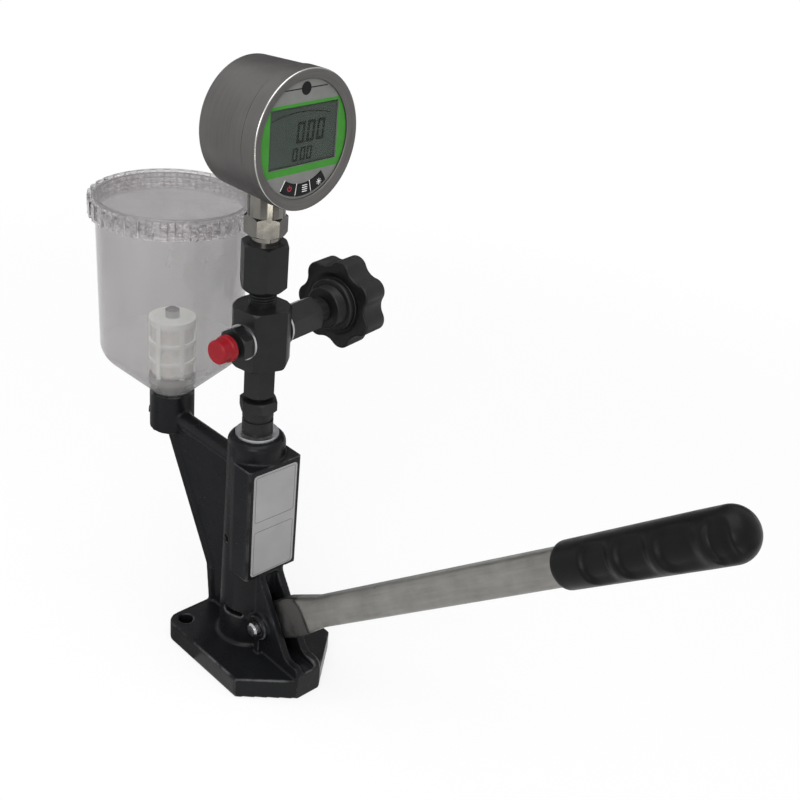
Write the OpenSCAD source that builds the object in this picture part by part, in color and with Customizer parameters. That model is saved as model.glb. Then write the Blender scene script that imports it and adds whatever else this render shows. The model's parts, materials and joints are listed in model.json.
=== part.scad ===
// Hand-lever injector nozzle tester: a cast stand with a plunger pump, an oil cup,
// a shut-off valve with a star knob, a capped outlet and a digital pressure gauge.
// Millimetres. Origin on the plunger axis at the underside of the base.
// +Z is up, +X points to the lever, the outlet is at -Y and the valve at +Y.

/* [Base plate] */
// Thickness of the base plate
base_t = 15; // [12:0.5:18]
// Width of the base plate across its straight sides
base_w = 82.4; // [76:0.2:100]
// Distance from the column axis to the rear edge
base_rear = 43.2; // [42:0.2:52]
// Distance from the column axis to the start of the front chamfers
base_shoulder = 38.5; // [32:0.5:46]
// Distance from the column axis to the front edge
base_front = 65.7; // [62:0.1:80]
// Width of the front edge and of the nose on it
nose_w = 19.1; // [18:0.1:24]
// Height of the nose above the ground
nose_top = 23.5; // [20:0.5:27]
// Radius of the rear corners
base_corner_r = 10; // [6:0.5:14]
// Diameter of the two mounting holes
base_hole_d = 9.8; // [6:0.1:11]
// Distance from the column axis to the row of mounting holes
base_hole_x = 33.5; // [30:0.5:36]
// Distance between the mounting holes
base_hole_pitch = 60; // [52:0.5:64]

/* [Column] */
// Height of the machined top of the column
column_top = 172; // [168:0.5:207]
// Diameter of the column just under its shoulder
column_top_d = 37.7; // [36:0.1:45]
// Diameter of the column at the base
column_foot_d = 42; // [40:0.1:50]
// Radius of the rounded shoulder
shoulder_r = 5; // [2:0.5:6]
// Radius of the fillet at the foot
foot_fillet = 3.5; // [1:0.5:5]
// Distance from the column axis to the flat front of the label pad
pad_x = 20.8; // [20.2:0.1:24]
// Width of the label pad
pad_w = 42; // [40:0.5:48]
// Height of the lower edge of the label pad
pad_bottom = 74.5; // [72:0.5:80]
// Height of the upper edge of the label pad
pad_top = 158.5; // [150:0.5:162]
// Width of the label
label_w = 35; // [28:0.5:38]
// Height of the label
label_h = 78; // [60:0.5:80]
// Thickness of the label
label_t = 0.3; // [0.2:0.05:0.6]

/* [Lever mount] */
// Distance from the plunger axis to the pivot pin
pivot_x = 25; // [24:0.25:27]
// Height of the pivot pin
pivot_z = 36; // [35:0.25:40]
// Diameter of the pivot pin
pin_d = 10; // [8:0.5:12]
// Length of the pivot pin
pin_len = 37; // [33:0.5:40]
// Width over the two cheeks
cheek_w = 20; // [18:0.5:24]
// Diameter of the bosses round the pin
pin_boss_d = 18; // [16:0.5:20]
// How far each boss stands out of its cheek
pin_boss_t = 3.5; // [1:0.5:6]

/* [Lever] */
// Angle of the lever above level when it is released
lever_angle = 38.5; // [30:0.5:42]
// Swing of the lever from released to fully pressed
lever_swing = 26; // [16:1:28]
// Distance from the pivot to the tip of the grip
lever_len = 400; // [300:5:480]
// Depth of the bar in the plane of its swing
bar_depth = 20.5; // [16:0.5:22]
// Thickness of the bar
bar_t = 13; // [11:0.5:16]
// Radius of the bar's long edges
bar_edge_r = 4.5; // [2:0.5:5]
// Depth of the forged root of the lever at the pivot
root_depth = 24; // [22:0.5:25]
// Depth of the root where it is widest, in front of the cheeks
root_bulge = 28; // [24:0.5:29]
// Thickness of the root between the cheeks
root_t = 8.6; // [8:0.1:9.6]
// Radius of the nose that lifts the tappet
nose_r = 6; // [5:0.25:6.5]
// Outer diameter of the bush in the lever
bush_d = 14; // [13:0.5:16]
// Length of the grip
grip_len = 115.5; // [90:0.5:140]
// Diameter of the grip
grip_d = 27; // [24:0.2:33]
// Number of finger hollows on each side of the grip
grip_hollows = 4; // [3:1:5]
// Depth of a finger hollow
grip_hollow_depth = 2.2; // [1:0.1:2.6]

/* [Pump element] */
// Diameter of the plunger
plunger_d = 8; // [6:0.5:9]
// Diameter of the tappet and of its guide
tappet_d = 24; // [22:0.5:25]
// Height of the tappet
tappet_h = 18; // [14:0.5:20]
// Height of the top of the spring chamber
chamber_top = 100; // [96:0.5:106]
// Diameter of the barrel below its head
barrel_d = 14; // [13:0.5:15]
// Diameter of the thread that holds the pump element down
element_thread_d = 18; // [17:0.5:19]
// Depth of that thread below the top of the column
element_depth = 22; // [20:0.5:24]
// Wire of the plunger spring
spring_wire = 2.5; // [1.5:0.1:3]
// Mean diameter of the plunger spring
spring_mean_d = 17; // [16:0.5:18]
// Turns of the plunger spring
spring_turns = 8; // [5:1:9]

/* [Oil cup] */
// Distance from the plunger axis to the axis of the cup
cup_x = 95.5; // [90:0.5:115]
// Height of the boss under the cup
boss_top = 163; // [158:0.5:196]
// Diameter of the boss under the cup
boss_d = 30.8; // [28:0.2:36]
// Height of the boss itself
boss_h = 29; // [24:0.5:34]
// Height of the oil passage and its round rib
feed_z = 143.6; // [143:0.1:145]
// Diameter of the round rib
feed_rib_d = 13; // [12:0.5:20]
// Outer diameter of the cup where its wall meets the cone
cup_d = 95.6; // [84:0.2:116]
// How much wider the cup is at its rim
cup_draft = 2.8; // [0:0.2:4]
// Radius between the cone and the wall of the cup
cup_round_r = 12; // [4:0.5:16]
// Wall of the cup
cup_wall = 2; // [1.5:0.1:3]
// Height of the cup from its underside to its rim
cup_h = 137.3; // [120:0.1:165]
// Thickness of the floor of the cup
cup_floor_t = 4; // [3:0.5:6]
// How much wider the lid is over its ribs than the cup at its rim
lid_over = 9; // [8:0.2:14]
// Height of the lid
lid_h = 13.2; // [10:0.1:18]
// Number of ribs round the lid
lid_ribs = 36; // [24:1:48]
// Diameter of the filter cage
filter_d = 31.6; // [28:0.2:40]
// Height of the filter cage
filter_h = 47; // [40:0.5:60]

/* [Fittings] */
// Height of the hex of the delivery-valve holder above the column
holder_hex_z = 18; // [16:0.5:20]
// Width across flats of the delivery-valve holder
holder_af = 22; // [20:0.5:24]
// Width across flats of the connector under the block
connector_af = 19; // [17:0.5:22]
// Height of the block's underside above the column
block_rise = 50.8; // [48:0.1:64]
// Height of the block
block_h = 39; // [37:0.5:44]
// Diameter that the block is turned to
block_d = 36.2; // [35:0.1:44]
// Distance from the axis to the block's front flat
block_front = 15.1; // [14:0.1:17]
// Angle of the front flat against the cross axis
front_turn = 22.5; // [0:0.5:40]
// Distance from the axis to the two side flats
block_half = 16; // [15:0.5:17.5]
// Height of the cross axis above the block's underside
cross_rise = 19.3; // [18.8:0.1:19.8]
// Angle by which the block is turned on its thread
block_yaw = 9.5; // [-20:0.1:20]
// Width across flats of the outlet union
union_af = 20; // [18:0.5:22]
// Thread diameter of the outlet
outlet_d = 12; // [10:0.5:15]
// Width across flats of the valve body
valve_af = 21; // [20:0.5:24]
// Distance from the column axis to the end of the valve body's hexagon
valve_end = 46.5; // [42:0.5:60]
// Diameter over the lobes of the star knob
knob_d = 61.2; // [50:0.2:74]
// Thickness of the star
knob_t = 19.5; // [12:0.5:24]
// Number of lobes
knob_lobes = 7; // [5:1:8]
// Pitch of the spindle's thread
spindle_pitch = 1; // [0.75:0.25:1.5]

/* [Gauge] */
// Width across flats of the gauge adapter
adapter_af = 26.5; // [24:0.5:30]
// Height of the adapter's neck between the block and its hexagon
adapter_neck = 10.8; // [8:0.1:16]
// Height of the adapter's hex
adapter_hex_h = 30.4; // [24:0.1:36]
// Height of the gauge centre above the block
gauge_rise = 109; // [104:0.1:131]
// Angle by which the gauge is turned on its stem
gauge_yaw = 5.65; // [-20:0.05:20]
// Diameter of the bezel
bezel_d = 80; // [79:0.5:90]
// Diameter of the case at its back and inside the bezel
case_d = 76; // [72.5:0.5:78]
// Distance from the stem to the front of the bezel
face_x = 30; // [26:0.5:36]
// Distance from the stem to the back of the case
case_back = 18.5; // [16:0.5:26]
// Wall of the case
case_wall = 2; // [1.5:0.1:3]
// Width of the display opening
display_w = 53; // [46:0.5:54]
// Height of the display opening
display_h = 33.5; // [28:0.5:34]
// Travel of a key
key_travel = 0.5; // [0.3:0.1:0.6]

/* [Hidden] */
$fn = 64;
// Gap at a thread or a press seat, a running fit, a sliding side and a lifted face
thread_gap = 0.05;
run_gap = 0.03;
side_gap = 0.3;
lift_gap = 0.3;

// Lever and tappet geometry in the plane of the swing
half_swing = lever_swing / 2;
arm_len = pivot_x;
nose_x = pivot_x - arm_len * cos(half_swing);
nose_z = pivot_z - arm_len * sin(half_swing);
tappet_z = nose_z + nose_r + lift_gap;
tappet_floor = 5;
slot_w = root_t + 2 * side_gap;
slot_floor = base_t + 4;
chamber_r = tappet_d / 2 + thread_gap;
slot_top = pivot_z + root_depth / 2 + 6;

// Cheek front edge, from the pad down to the nose
cheek_top = [22, pad_bottom - 2.5];
cheek_knee = [pivot_x + 9, pivot_z + 17];
cheek_low = [pivot_x + 23, pivot_z - 6];

// Plunger stack
plunger_z = tappet_z + tappet_floor;
barrel_seat = column_top - element_depth;
barrel_head_h = 5;
seat_h = 5;
seat_z = barrel_seat + barrel_head_h;
holder_z = seat_z + seat_h;
head_d = element_thread_d - 2 * thread_gap - 0.1;
plunger_top = feed_z - 3.5;
spring_low = plunger_z + 6;
spring_washer_t = 2;
spring_high = chamber_top - spring_washer_t;

// Fitting stack
washer_t = 2;
holder_base = column_top + washer_t;
holder_hex = column_top + holder_hex_z;
holder_hex_h = 8;
holder_top = holder_hex + holder_hex_h;
connector_hex = holder_top + 3;
block_z = column_top + block_rise;
block_top = block_z + block_h;
cross_z = block_z + cross_rise;
adapter_hex = block_top + adapter_neck;
adapter_top = adapter_hex + adapter_hex_h;
stem_hex = adapter_top + 5;
stem_hex_h = 12;
stem_af = 22.8;
gauge_z = block_top + gauge_rise;
side_washer_t = 1.5;
union_hex = block_half + side_washer_t;
union_hex_h = 8;
union_end = union_hex + union_hex_h;
outlet_len = 11.5;
connector_thread_d = 14;
connector_thread_h = 9.5;
adapter_thread_d = 17;
adapter_thread_h = 9;
side_thread_h = 8.5;
valve_thread_d = 16;

// Valve stack, measured from the column axis
valve_hex = block_half + side_washer_t;
packing_z = block_half - 1;
packing_h = 7;
spindle_z = packing_z + packing_h + 3;
spindle_d = 10;
shank_d = 8;
needle_d = 5;
gland_d = 17;
gland_end = valve_end + 10.5;
knob_z = gland_end + 1.5;
knob_back = knob_z + 10.8;
knob_front = knob_back + knob_t;

// Cup stack
cup_seal_t = 1.5;
cup_z = boss_top + cup_seal_t;
cup_top_d = cup_d + cup_draft;
cup_foot_r = boss_d / 2 - 0.4;
cone_rise = 0.94;
cone_angle = atan(cone_rise);
filter_room = filter_d / 2 + 0.5 - cup_foot_r + cup_wall / sin(cone_angle);
cup_floor = cup_z + max(cup_floor_t, filter_room * cone_rise);
floor_seal_t = 2;
filter_z = cup_floor + floor_seal_t;
filter_top = filter_z + filter_h;
cup_rim = cup_z + cup_h;
stud_d = 6;
lid_top_t = 2;
lid_z = cup_rim + lid_top_t - lid_h;
neck_bead_d = cup_top_d + 1.4;
lid_bore_d = neck_bead_d + 1.4;
lid_d = cup_top_d + lid_over;
bleed_screw_d = 5;

// Corner between the cone and the wall of the cup
wall_z = cup_z + (cup_d / 2 - cup_foot_r) * cone_rise;
draft_angle = atan(cup_draft / 2 / (cup_rim - wall_z));
cone_out = [sin(cone_angle), -cos(cone_angle)];
wall_out = [cos(draft_angle), -sin(draft_angle)];
round_at = [cup_d / 2, wall_z] - cup_round_r * (cone_out + wall_out) / (1 + cone_out * wall_out);

// Gauge layers, measured from the stem along the gauge axis
bezel_t = 11;
lip_t = 3;
plate_t = 1;
plate_front = face_x - lip_t;
plate_back = plate_front - plate_t;
case_edge = 3;
case_seam = face_x - bezel_t - 0.3;
flare_r = bezel_d / 2 - 0.5;
lip_r = bezel_d / 2 - 6.4;
display_y = 2.4;
board_t = 1.6;
board_front = plate_back - 5.4;
key_r0 = 25.3;
key_r1 = 32;
key_pitch = 23;
key_turn = 2.5;
key_gap = 0.3;

// Shared shapes

module ring(outer_d, inner_d, h) {
    difference() {
        cylinder(d = outer_d, h = h);
        translate([0, 0, -1])
            cylinder(d = inner_d, h = h + 2);
    }
}

// Hexagon bar with the turned chamfer of a nut at either end
module hex_bar(af, h, low_chamfer = true, high_chamfer = true) {
    corner_r = af / 2 / cos(30);
    rise = (corner_r - af / 2) * 0.7;
    intersection() {
        cylinder(r = corner_r, h = h, $fn = 6);
        rotate_extrude()
            polygon([
                [0, 0],
                [low_chamfer ? af / 2 : corner_r + 1, 0],
                [corner_r + (low_chamfer ? 0 : 1), low_chamfer ? rise : 0],
                [corner_r + (high_chamfer ? 0 : 1), high_chamfer ? h - rise : h],
                [high_chamfer ? af / 2 : corner_r + 1, h],
                [0, h]]);
    }
}

module rounded_rect(w, h, r) {
    square([w - 2 * r, h], center = true);
    square([w, h - 2 * r], center = true);
    for (sx = [-1, 1], sy = [-1, 1])
        translate([sx * (w / 2 - r), sy * (h / 2 - r)])
            circle(r = r);
}

// Stands a drawing made in X and Z upright, centred on Y
module upright(t) {
    rotate([90, 0, 0])
        linear_extrude(height = t, center = true)
            children();
}

module at_lever() {
    translate([pivot_x, 0, pivot_z])
        rotate([0, -lever_angle, 0])
            children();
}

// Local +Z runs out of the block towards the knob
module at_valve() {
    translate([0, 0, cross_z])
        rotate([0, 0, block_yaw])
            rotate([-90, 0, 0])
                children();
}

// Local +Z runs out of the block through the outlet
module at_outlet() {
    translate([0, 0, cross_z])
        rotate([0, 0, block_yaw])
            rotate([90, 0, 0])
                children();
}

// Local +Z points out of the gauge face, +X to its right and +Y up
module at_gauge() {
    translate([0, 0, gauge_z])
        rotate([90, 0, 90 + gauge_yaw])
            children();
}

module at_cup() {
    translate([-cup_x, 0, 0])
        children();
}

// Round wire wound into an open coil between two heights
function coil_ring(i, steps, turns, mean_r, wire, z0, z1, sides) =
    let (a = 360 * turns * i / steps)
    let (z = z0 + wire / 2 + (z1 - z0 - wire) * i / steps)
    [for (k = [0 : sides - 1])
        let (b = 360 * k / sides + 30)
        let (r = mean_r + wire / 2 * cos(b))
        [r * cos(a), r * sin(a), z + wire / 2 * sin(b)]];

module coil(mean_d, wire, z0, z1, turns, sides = 6, steps_a_turn = 12) {
    steps = turns * steps_a_turn;
    points = [for (i = [0 : steps]) each coil_ring(i, steps, turns, mean_d / 2, wire, z0, z1, sides)];
    walls = [for (i = [0 : steps - 1], k = [0 : sides - 1])
        let (a = i * sides + k)
        let (b = i * sides + (k + 1) % sides)
        each [[a, a + sides, b], [b, a + sides, b + sides]]];
    start_cap = [for (k = [1 : sides - 2]) [0, k, k + 1]];
    last = steps * sides;
    end_cap = [for (k = [1 : sides - 2]) [last, last + k + 1, last + k]];
    polyhedron(points = points, faces = concat(walls, start_cap, end_cap));
}

// Casting

module base_outline() {
    half = base_w / 2;
    rear = base_corner_r - base_rear;
    polygon([
        [rear, -half], [base_shoulder, -half], [base_front, -nose_w / 2], [base_front, nose_w / 2],
        [base_shoulder, half], [rear, half], [-base_rear, half - base_corner_r],
        [-base_rear, base_corner_r - half]]);
    for (side = [-1, 1])
        translate([rear, side * (half - base_corner_r)])
            circle(r = base_corner_r);
}

module column_profile() {
    top_r = column_top_d / 2;
    foot_r = column_foot_d / 2;
    shoulder_z = column_top - shoulder_r;
    polygon([[0, 1], [foot_r, 1], [foot_r, base_t], [top_r, shoulder_z], [0, shoulder_z]]);
    translate([0, shoulder_z - 0.1])
        square([top_r - shoulder_r, shoulder_r + 0.1]);
    translate([top_r - shoulder_r, shoulder_z])
        circle(r = shoulder_r);
    translate([foot_r - 0.2, base_t - 0.2])
        difference() {
            square(foot_fillet);
            translate([foot_fillet, foot_fillet])
                circle(r = foot_fillet);
        }
}

module label_pad() {
    half = pad_w / 2;
    edge = 1.2;
    blend = half - 2.5;
    translate([0, 0, pad_bottom])
        linear_extrude(height = pad_top - pad_bottom)
            polygon([
                [pad_x, edge - half], [pad_x, half - edge], [pad_x - edge, half], [5, half],
                [-5, blend], [-5, -blend], [5, -half], [pad_x - edge, -half]]);
}

// Side view of the two cheeks and of the nose that they run out into
module cheek_profile() {
    run = cheek_low - cheek_knee;
    foot_x = cheek_low[0] + run[0] * (cheek_low[1] - nose_top) / -run[1];
    round_r = 5;
    polygon([
        [0, 1], [0, pad_bottom + 1], [cheek_top[0], pad_bottom + 1], cheek_top, cheek_knee, cheek_low,
        [foot_x, nose_top], [base_front - round_r, nose_top], [base_front, nose_top - round_r],
        [base_front, 1]]);
    translate([base_front - round_r, nose_top - round_r])
        circle(r = round_r);
    // hollow between the front edge and the nose
    slope = atan2(-run[1], run[0]);
    hollow_r = 8;
    reach = hollow_r * tan(slope / 2);
    difference() {
        polygon([
            [foot_x - reach * cos(slope), nose_top + reach * sin(slope)],
            [foot_x, nose_top - 0.5],
            [foot_x + reach, nose_top - 0.5],
            [foot_x + reach, nose_top]]);
        translate([foot_x + reach, nose_top + hollow_r])
            circle(r = hollow_r);
    }
}

module cheeks() {
    difference() {
        upright(cheek_w)
            cheek_profile();
        // room for the lever between the cheeks and along the nose
        translate([column_top_d / 2 - 1, -slot_w / 2, slot_floor])
            cube([base_front - column_top_d / 2 + 2, slot_w, pad_bottom - slot_floor]);
    }
}

module pin_bosses() {
    translate([pivot_x, 0, pivot_z])
        rotate([90, 0, 0])
            difference() {
                cylinder(d = pin_boss_d, h = cheek_w + 2 * pin_boss_t, center = true);
                cylinder(d = pin_boss_d + 1, h = slot_w, center = true);
            }
    rib_t = 5;
    for (side = [-1, 1])
        translate([pivot_x - rib_t / 2, side * (cheek_w / 2 + pin_boss_t / 2) - pin_boss_t / 2, 1])
            cube([rib_t, pin_boss_t, pivot_z - pin_boss_d / 2 + 1]);
}

// Upright web from the column out to the cup, with a thick rim along its rear edge
module rear_web() {
    knee = [-base_rear - 3.5, base_t + 29];
    tip = [-cup_x, boss_top - boss_h - 5];
    rim = 6;
    web_t = 5;
    rim_t = 8.4;
    upright(web_t)
        polygon([[0, 1], [-base_rear, 1], knee, tip, [-cup_x, feed_z], [0, feed_z]]);
    upright(rim_t)
        polygon([
            [-base_rear + rim, 1], [-base_rear, 1], [-base_rear, base_t], knee, tip,
            [tip[0] + rim, tip[1] + rim / 2], [knee[0] + rim, knee[1] - 1]]);
}

module feed_rib() {
    translate([-cup_x, 0, feed_z])
        rotate([0, 90, 0])
            cylinder(d = feed_rib_d, h = cup_x);
}

module cup_boss() {
    at_cup()
        translate([0, 0, boss_top - boss_h])
            cylinder(d = boss_d, h = boss_h);
}

module body_bores() {
    for (side = [-1, 1])
        translate([-base_hole_x, side * base_hole_pitch / 2, -1])
            cylinder(d = base_hole_d, h = base_t + 2);
    // spring chamber, barrel seat and thread, from the bottom up
    translate([0, 0, slot_floor])
        cylinder(r = chamber_r, h = chamber_top - slot_floor);
    translate([0, 0, chamber_top - 1])
        cylinder(d = barrel_d + 2 * thread_gap, h = barrel_seat - chamber_top + 2);
    translate([0, 0, barrel_seat])
        cylinder(d = element_thread_d, h = element_depth + 1);
    // way in for the lever
    translate([0, -slot_w / 2, slot_floor])
        cube([column_foot_d / 2 + foot_fillet, slot_w, slot_top - slot_floor]);
    translate([pivot_x, 0, pivot_z])
        rotate([90, 0, 0])
            cylinder(d = pin_d + 2 * thread_gap, h = cheek_w + 2 * pin_boss_t + 2, center = true);
    // oil passage, drilled from behind the boss, and the stud hole that it meets
    plug_depth = 7;
    translate([-cup_x - boss_d / 2 - 1, 0, feed_z])
        rotate([0, 90, 0])
            cylinder(d = 5, h = cup_x + boss_d / 2);
    translate([-cup_x - boss_d / 2 - 1, 0, feed_z])
        rotate([0, 90, 0])
            cylinder(d = 7, h = plug_depth + 1);
    at_cup()
        translate([0, 0, feed_z])
            cylinder(d = stud_d + 2 * thread_gap, h = boss_top - feed_z + 1);
    bleed_screw_place()
        translate([0, 0, -1])
            cylinder(d = bleed_screw_d + 2 * thread_gap, h = boss_d);
    // vent of the spring chamber and oval window beside the lever nose
    translate([0, 0, chamber_top - 5])
        rotate([90, 0, -15])
            cylinder(d = 5.5, h = column_foot_d);
    window_w = 14;
    translate([5, 0, pivot_z + 4])
        rotate([90, 0, 0])
            linear_extrude(height = column_foot_d)
                rounded_rect(window_w, 3.6, 1.7);
}

module pump_body() {
    color("#2a2c2f")
        difference() {
            union() {
                linear_extrude(height = base_t)
                    base_outline();
                rotate_extrude()
                    column_profile();
                label_pad();
                cheeks();
                pin_bosses();
                rear_web();
                feed_rib();
                cup_boss();
            }
            body_bores();
        }
}

module label_plate() {
    color("#e4e4e6")
        translate([pad_x, 0, (pad_top + pad_bottom) / 2 - 0.5])
            rotate([90, 0, 90])
                linear_extrude(height = label_t)
                    rounded_rect(label_w, label_h, 2.5);
}

module pivot_pin() {
    chamfer = 1.2;
    color("#c9cacc")
        translate([pivot_x, pin_len / 2, pivot_z])
            rotate([90, 0, 0])
                rotate_extrude()
                    polygon([
                        [0, 0], [pin_d / 2 - chamfer, 0], [pin_d / 2, chamfer],
                        [pin_d / 2, pin_len - chamfer], [pin_d / 2 - chamfer, pin_len], [0, pin_len]]);
}

// Lever

// Short arm from the pivot to the nose, lowered on top to clear the tappet
module arm_profile() {
    lean = tappet_d / 2 + 0.6;
    translate([nose_x, nose_z])
        circle(r = nose_r);
    translate([pivot_x, pivot_z])
        circle(r = root_depth / 2);
    polygon([
        [nose_x, nose_z + nose_r - 1.5], [lean, tappet_z - 2.2], [pivot_x - 6, pivot_z + 5],
        [pivot_x, pivot_z - root_depth / 2 + 0.5], [nose_x, nose_z - nose_r]]);
}

module bar_section(depth, from, to) {
    translate([from, 0, 0])
        rotate([90, 0, 90])
            linear_extrude(height = to - from)
                rounded_rect(bar_t, depth, bar_edge_r);
}

// Flat milled on one side of the root, with an end that slopes up to the bar
module root_flat() {
    flat_end = 44;
    slope_run = 5;
    corner_r = 8;
    hull()
        for (i = [0, 1])
            translate([0, root_t / 2 + i * (bar_t - root_t), 0])
                rotate([90, 0, 0])
                    linear_extrude(height = 0.01) {
                        translate([-30, -30])
                            square([30 + flat_end + 2 * i * slope_run, 34]);
                        translate([-30, 0])
                            square([30 + flat_end + 2 * i * slope_run - corner_r, 12]);
                        translate([flat_end + 2 * i * slope_run - corner_r, 4])
                            circle(r = corner_r);
                        translate([-30, 4])
                            square([30 + flat_end / 2, 30]);
                    }
}

module lever_bar() {
    bulge_from = 27;
    bulge_to = 32;
    flare_end = 64;
    bar_end = lever_len - 9;
    color("#9b9a94")
        difference() {
            union() {
                upright(root_t)
                    arm_profile();
                at_lever() {
                    hull() {
                        bar_section(root_depth, 0, 0.1, $fn = 32);
                        bar_section(root_bulge, bulge_from, bulge_to, $fn = 32);
                    }
                    hull() {
                        bar_section(root_bulge, bulge_from, bulge_to, $fn = 32);
                        bar_section(bar_depth, flare_end, flare_end + 0.1, $fn = 32);
                    }
                    bar_section(bar_depth, flare_end, bar_end);
                }
            }
            at_lever() {
                root_flat();
                mirror([0, 1, 0])
                    root_flat();
            }
            translate([pivot_x, 0, pivot_z])
                rotate([90, 0, 0])
                    cylinder(d = bush_d + 2 * thread_gap, h = bar_t + 2, center = true);
        }
}

module lever_bush() {
    color("#b08d4f")
        translate([pivot_x, root_t / 2, pivot_z])
            rotate([90, 0, 0])
                ring(bush_d, pin_d + 2 * run_gap, root_t);
}

module grip_profile() {
    r = grip_d / 2;
    edge = 1.5;
    dome = r - 1;
    translate([0, edge])
        square([r, grip_len - dome - edge]);
    square([r - edge, edge + 0.1]);
    translate([r - edge, edge])
        circle(r = edge);
    translate([0, grip_len - dome - 0.1])
        intersection() {
            square([r, dome + 0.1]);
            circle(r = r);
        }
}

module lever_grip() {
    hollow_r = 26;
    pitch = (grip_len - 18) / grip_hollows;
    socket = lever_len - 9 + thread_gap;
    color("#1c1d1f")
        at_lever()
            difference() {
                translate([lever_len - grip_len, 0, 0])
                    rotate([0, 90, 0])
                        rotate_extrude()
                            grip_profile();
                translate([lever_len - grip_len - 1, 0, 0])
                    rotate([90, 0, 90])
                        linear_extrude(height = socket - lever_len + grip_len + 1)
                            rounded_rect(bar_t + 2 * thread_gap, bar_depth + 2 * thread_gap, bar_edge_r);
                for (side = [-1, 1], i = [0 : grip_hollows - 1])
                    translate([lever_len - grip_len + 20 + pitch * i,
                        side * (grip_d / 2 + hollow_r - grip_hollow_depth), 0])
                        sphere(r = hollow_r);
            }
}

// Pump element

module tappet() {
    wall = 1.5;
    edge = 1;
    color("#8f9093")
        translate([0, 0, tappet_z])
            rotate_extrude()
                polygon([
                    [0, 0], [tappet_d / 2 - edge, 0], [tappet_d / 2, edge], [tappet_d / 2, tappet_h],
                    [tappet_d / 2 - wall, tappet_h], [tappet_d / 2 - wall, tappet_floor],
                    [0, tappet_floor]]);
}

module plunger() {
    foot_r = plunger_d / 2 + 2;
    neck_r = plunger_d / 2 - 0.8;
    color("#b9babd")
        rotate_extrude()
            polygon([
                [0, plunger_z], [foot_r, plunger_z], [foot_r, plunger_z + 2.5], [neck_r, plunger_z + 2.5],
                [neck_r, spring_low + 1], [plunger_d / 2, spring_low + 2],
                [plunger_d / 2, plunger_top - 0.5], [plunger_d / 2 - 0.5, plunger_top], [0, plunger_top]]);
}

// Dished seat that the spring presses on, hung on the neck of the plunger
module spring_seat() {
    neck_r = plunger_d / 2 - 0.8 + thread_gap;
    seat_r = tappet_d / 2 - 2;
    color("#77787b")
        rotate_extrude()
            polygon([
                [neck_r, plunger_z + 2.5], [seat_r - 5, plunger_z + 2.5], [seat_r, spring_low - 2],
                [seat_r, spring_low], [neck_r, spring_low]]);
}

module plunger_spring() {
    color("#6f7073")
        coil(spring_mean_d, spring_wire, spring_low, spring_high, spring_turns);
}

module spring_washer() {
    color("#77787b")
        translate([0, 0, spring_high])
            ring(tappet_d - 1.5, barrel_d + 0.6, spring_washer_t);
}

module pump_barrel() {
    gallery_h = 7;
    color("#a8a9ac")
        difference() {
            rotate_extrude()
                polygon([
                    [plunger_d / 2 + run_gap, chamber_top - 4], [barrel_d / 2, chamber_top - 4],
                    [barrel_d / 2, feed_z - gallery_h / 2], [barrel_d / 2 - 1.1, feed_z - gallery_h / 2],
                    [barrel_d / 2 - 1.1, feed_z + gallery_h / 2], [barrel_d / 2, feed_z + gallery_h / 2],
                    [barrel_d / 2, barrel_seat], [head_d / 2, barrel_seat], [head_d / 2, seat_z],
                    [plunger_d / 2 + run_gap, seat_z]]);
            translate([0, 0, feed_z])
                rotate([0, 90, 0])
                    cylinder(d = 2.5, h = barrel_d + 2, center = true);
        }
}

module delivery_valve_seat() {
    color("#a8a9ac")
        translate([0, 0, seat_z])
            ring(head_d, 4 + 2 * run_gap, seat_h);
}

module delivery_valve() {
    color("#c2a766")
        rotate_extrude()
            polygon([
                [0, seat_z + 0.5], [2, seat_z + 0.5], [2, holder_z + 0.1], [3.2, holder_z + 0.1],
                [3.2, holder_z + 2.6], [1.6, holder_z + 3.4], [1.4, holder_z + 6], [0, holder_z + 6]]);
}

module delivery_valve_spring() {
    color("#6f7073")
        coil(5.2, 0.8, holder_z + 3.6, holder_z + 18, 7);
}

module delivery_valve_holder() {
    neck_r = 10;
    thread_r = element_thread_d / 2 - thread_gap;
    groove_z = column_top + 11.2;
    color("#26282b")
        difference() {
            union() {
                rotate_extrude()
                    polygon([
                        [0, holder_z], [thread_r, holder_z], [thread_r, holder_base], [neck_r, holder_base],
                        [neck_r, groove_z], [neck_r - 0.9, groove_z + 0.5], [neck_r - 0.9, groove_z + 1.6],
                        [neck_r, groove_z + 2.1], [neck_r, holder_hex], [0, holder_hex]]);
                translate([0, 0, holder_hex])
                    rotate([0, 0, -28])
                        hex_bar(holder_af, holder_hex_h);
            }
            translate([0, 0, holder_z - 1])
                cylinder(d = 8, h = 19);
            translate([0, 0, holder_z])
                cylinder(d = 3, h = holder_top - holder_z);
            translate([0, 0, holder_top - 12])
                cylinder(d = 12, h = 13);
        }
}

module holder_washer() {
    color("#d6d7d9")
        translate([0, 0, column_top])
            ring(28, element_thread_d + 0.4, washer_t);
}

// Fittings

module connector() {
    color("#26282b")
        difference() {
            union() {
                translate([0, 0, holder_top - 11])
                    cylinder(d = 12 - 2 * thread_gap, h = connector_hex - holder_top + 12);
                translate([0, 0, connector_hex])
                    rotate([0, 0, -39])
                        hex_bar(connector_af, block_z - connector_hex, true, false);
                translate([0, 0, block_z - 1])
                    cylinder(d = connector_thread_d - 2 * thread_gap, h = connector_thread_h + 1);
            }
            translate([0, 0, holder_top - 12])
                cylinder(d = 3, h = block_z + connector_thread_h - holder_top + 14);
        }
}

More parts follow.
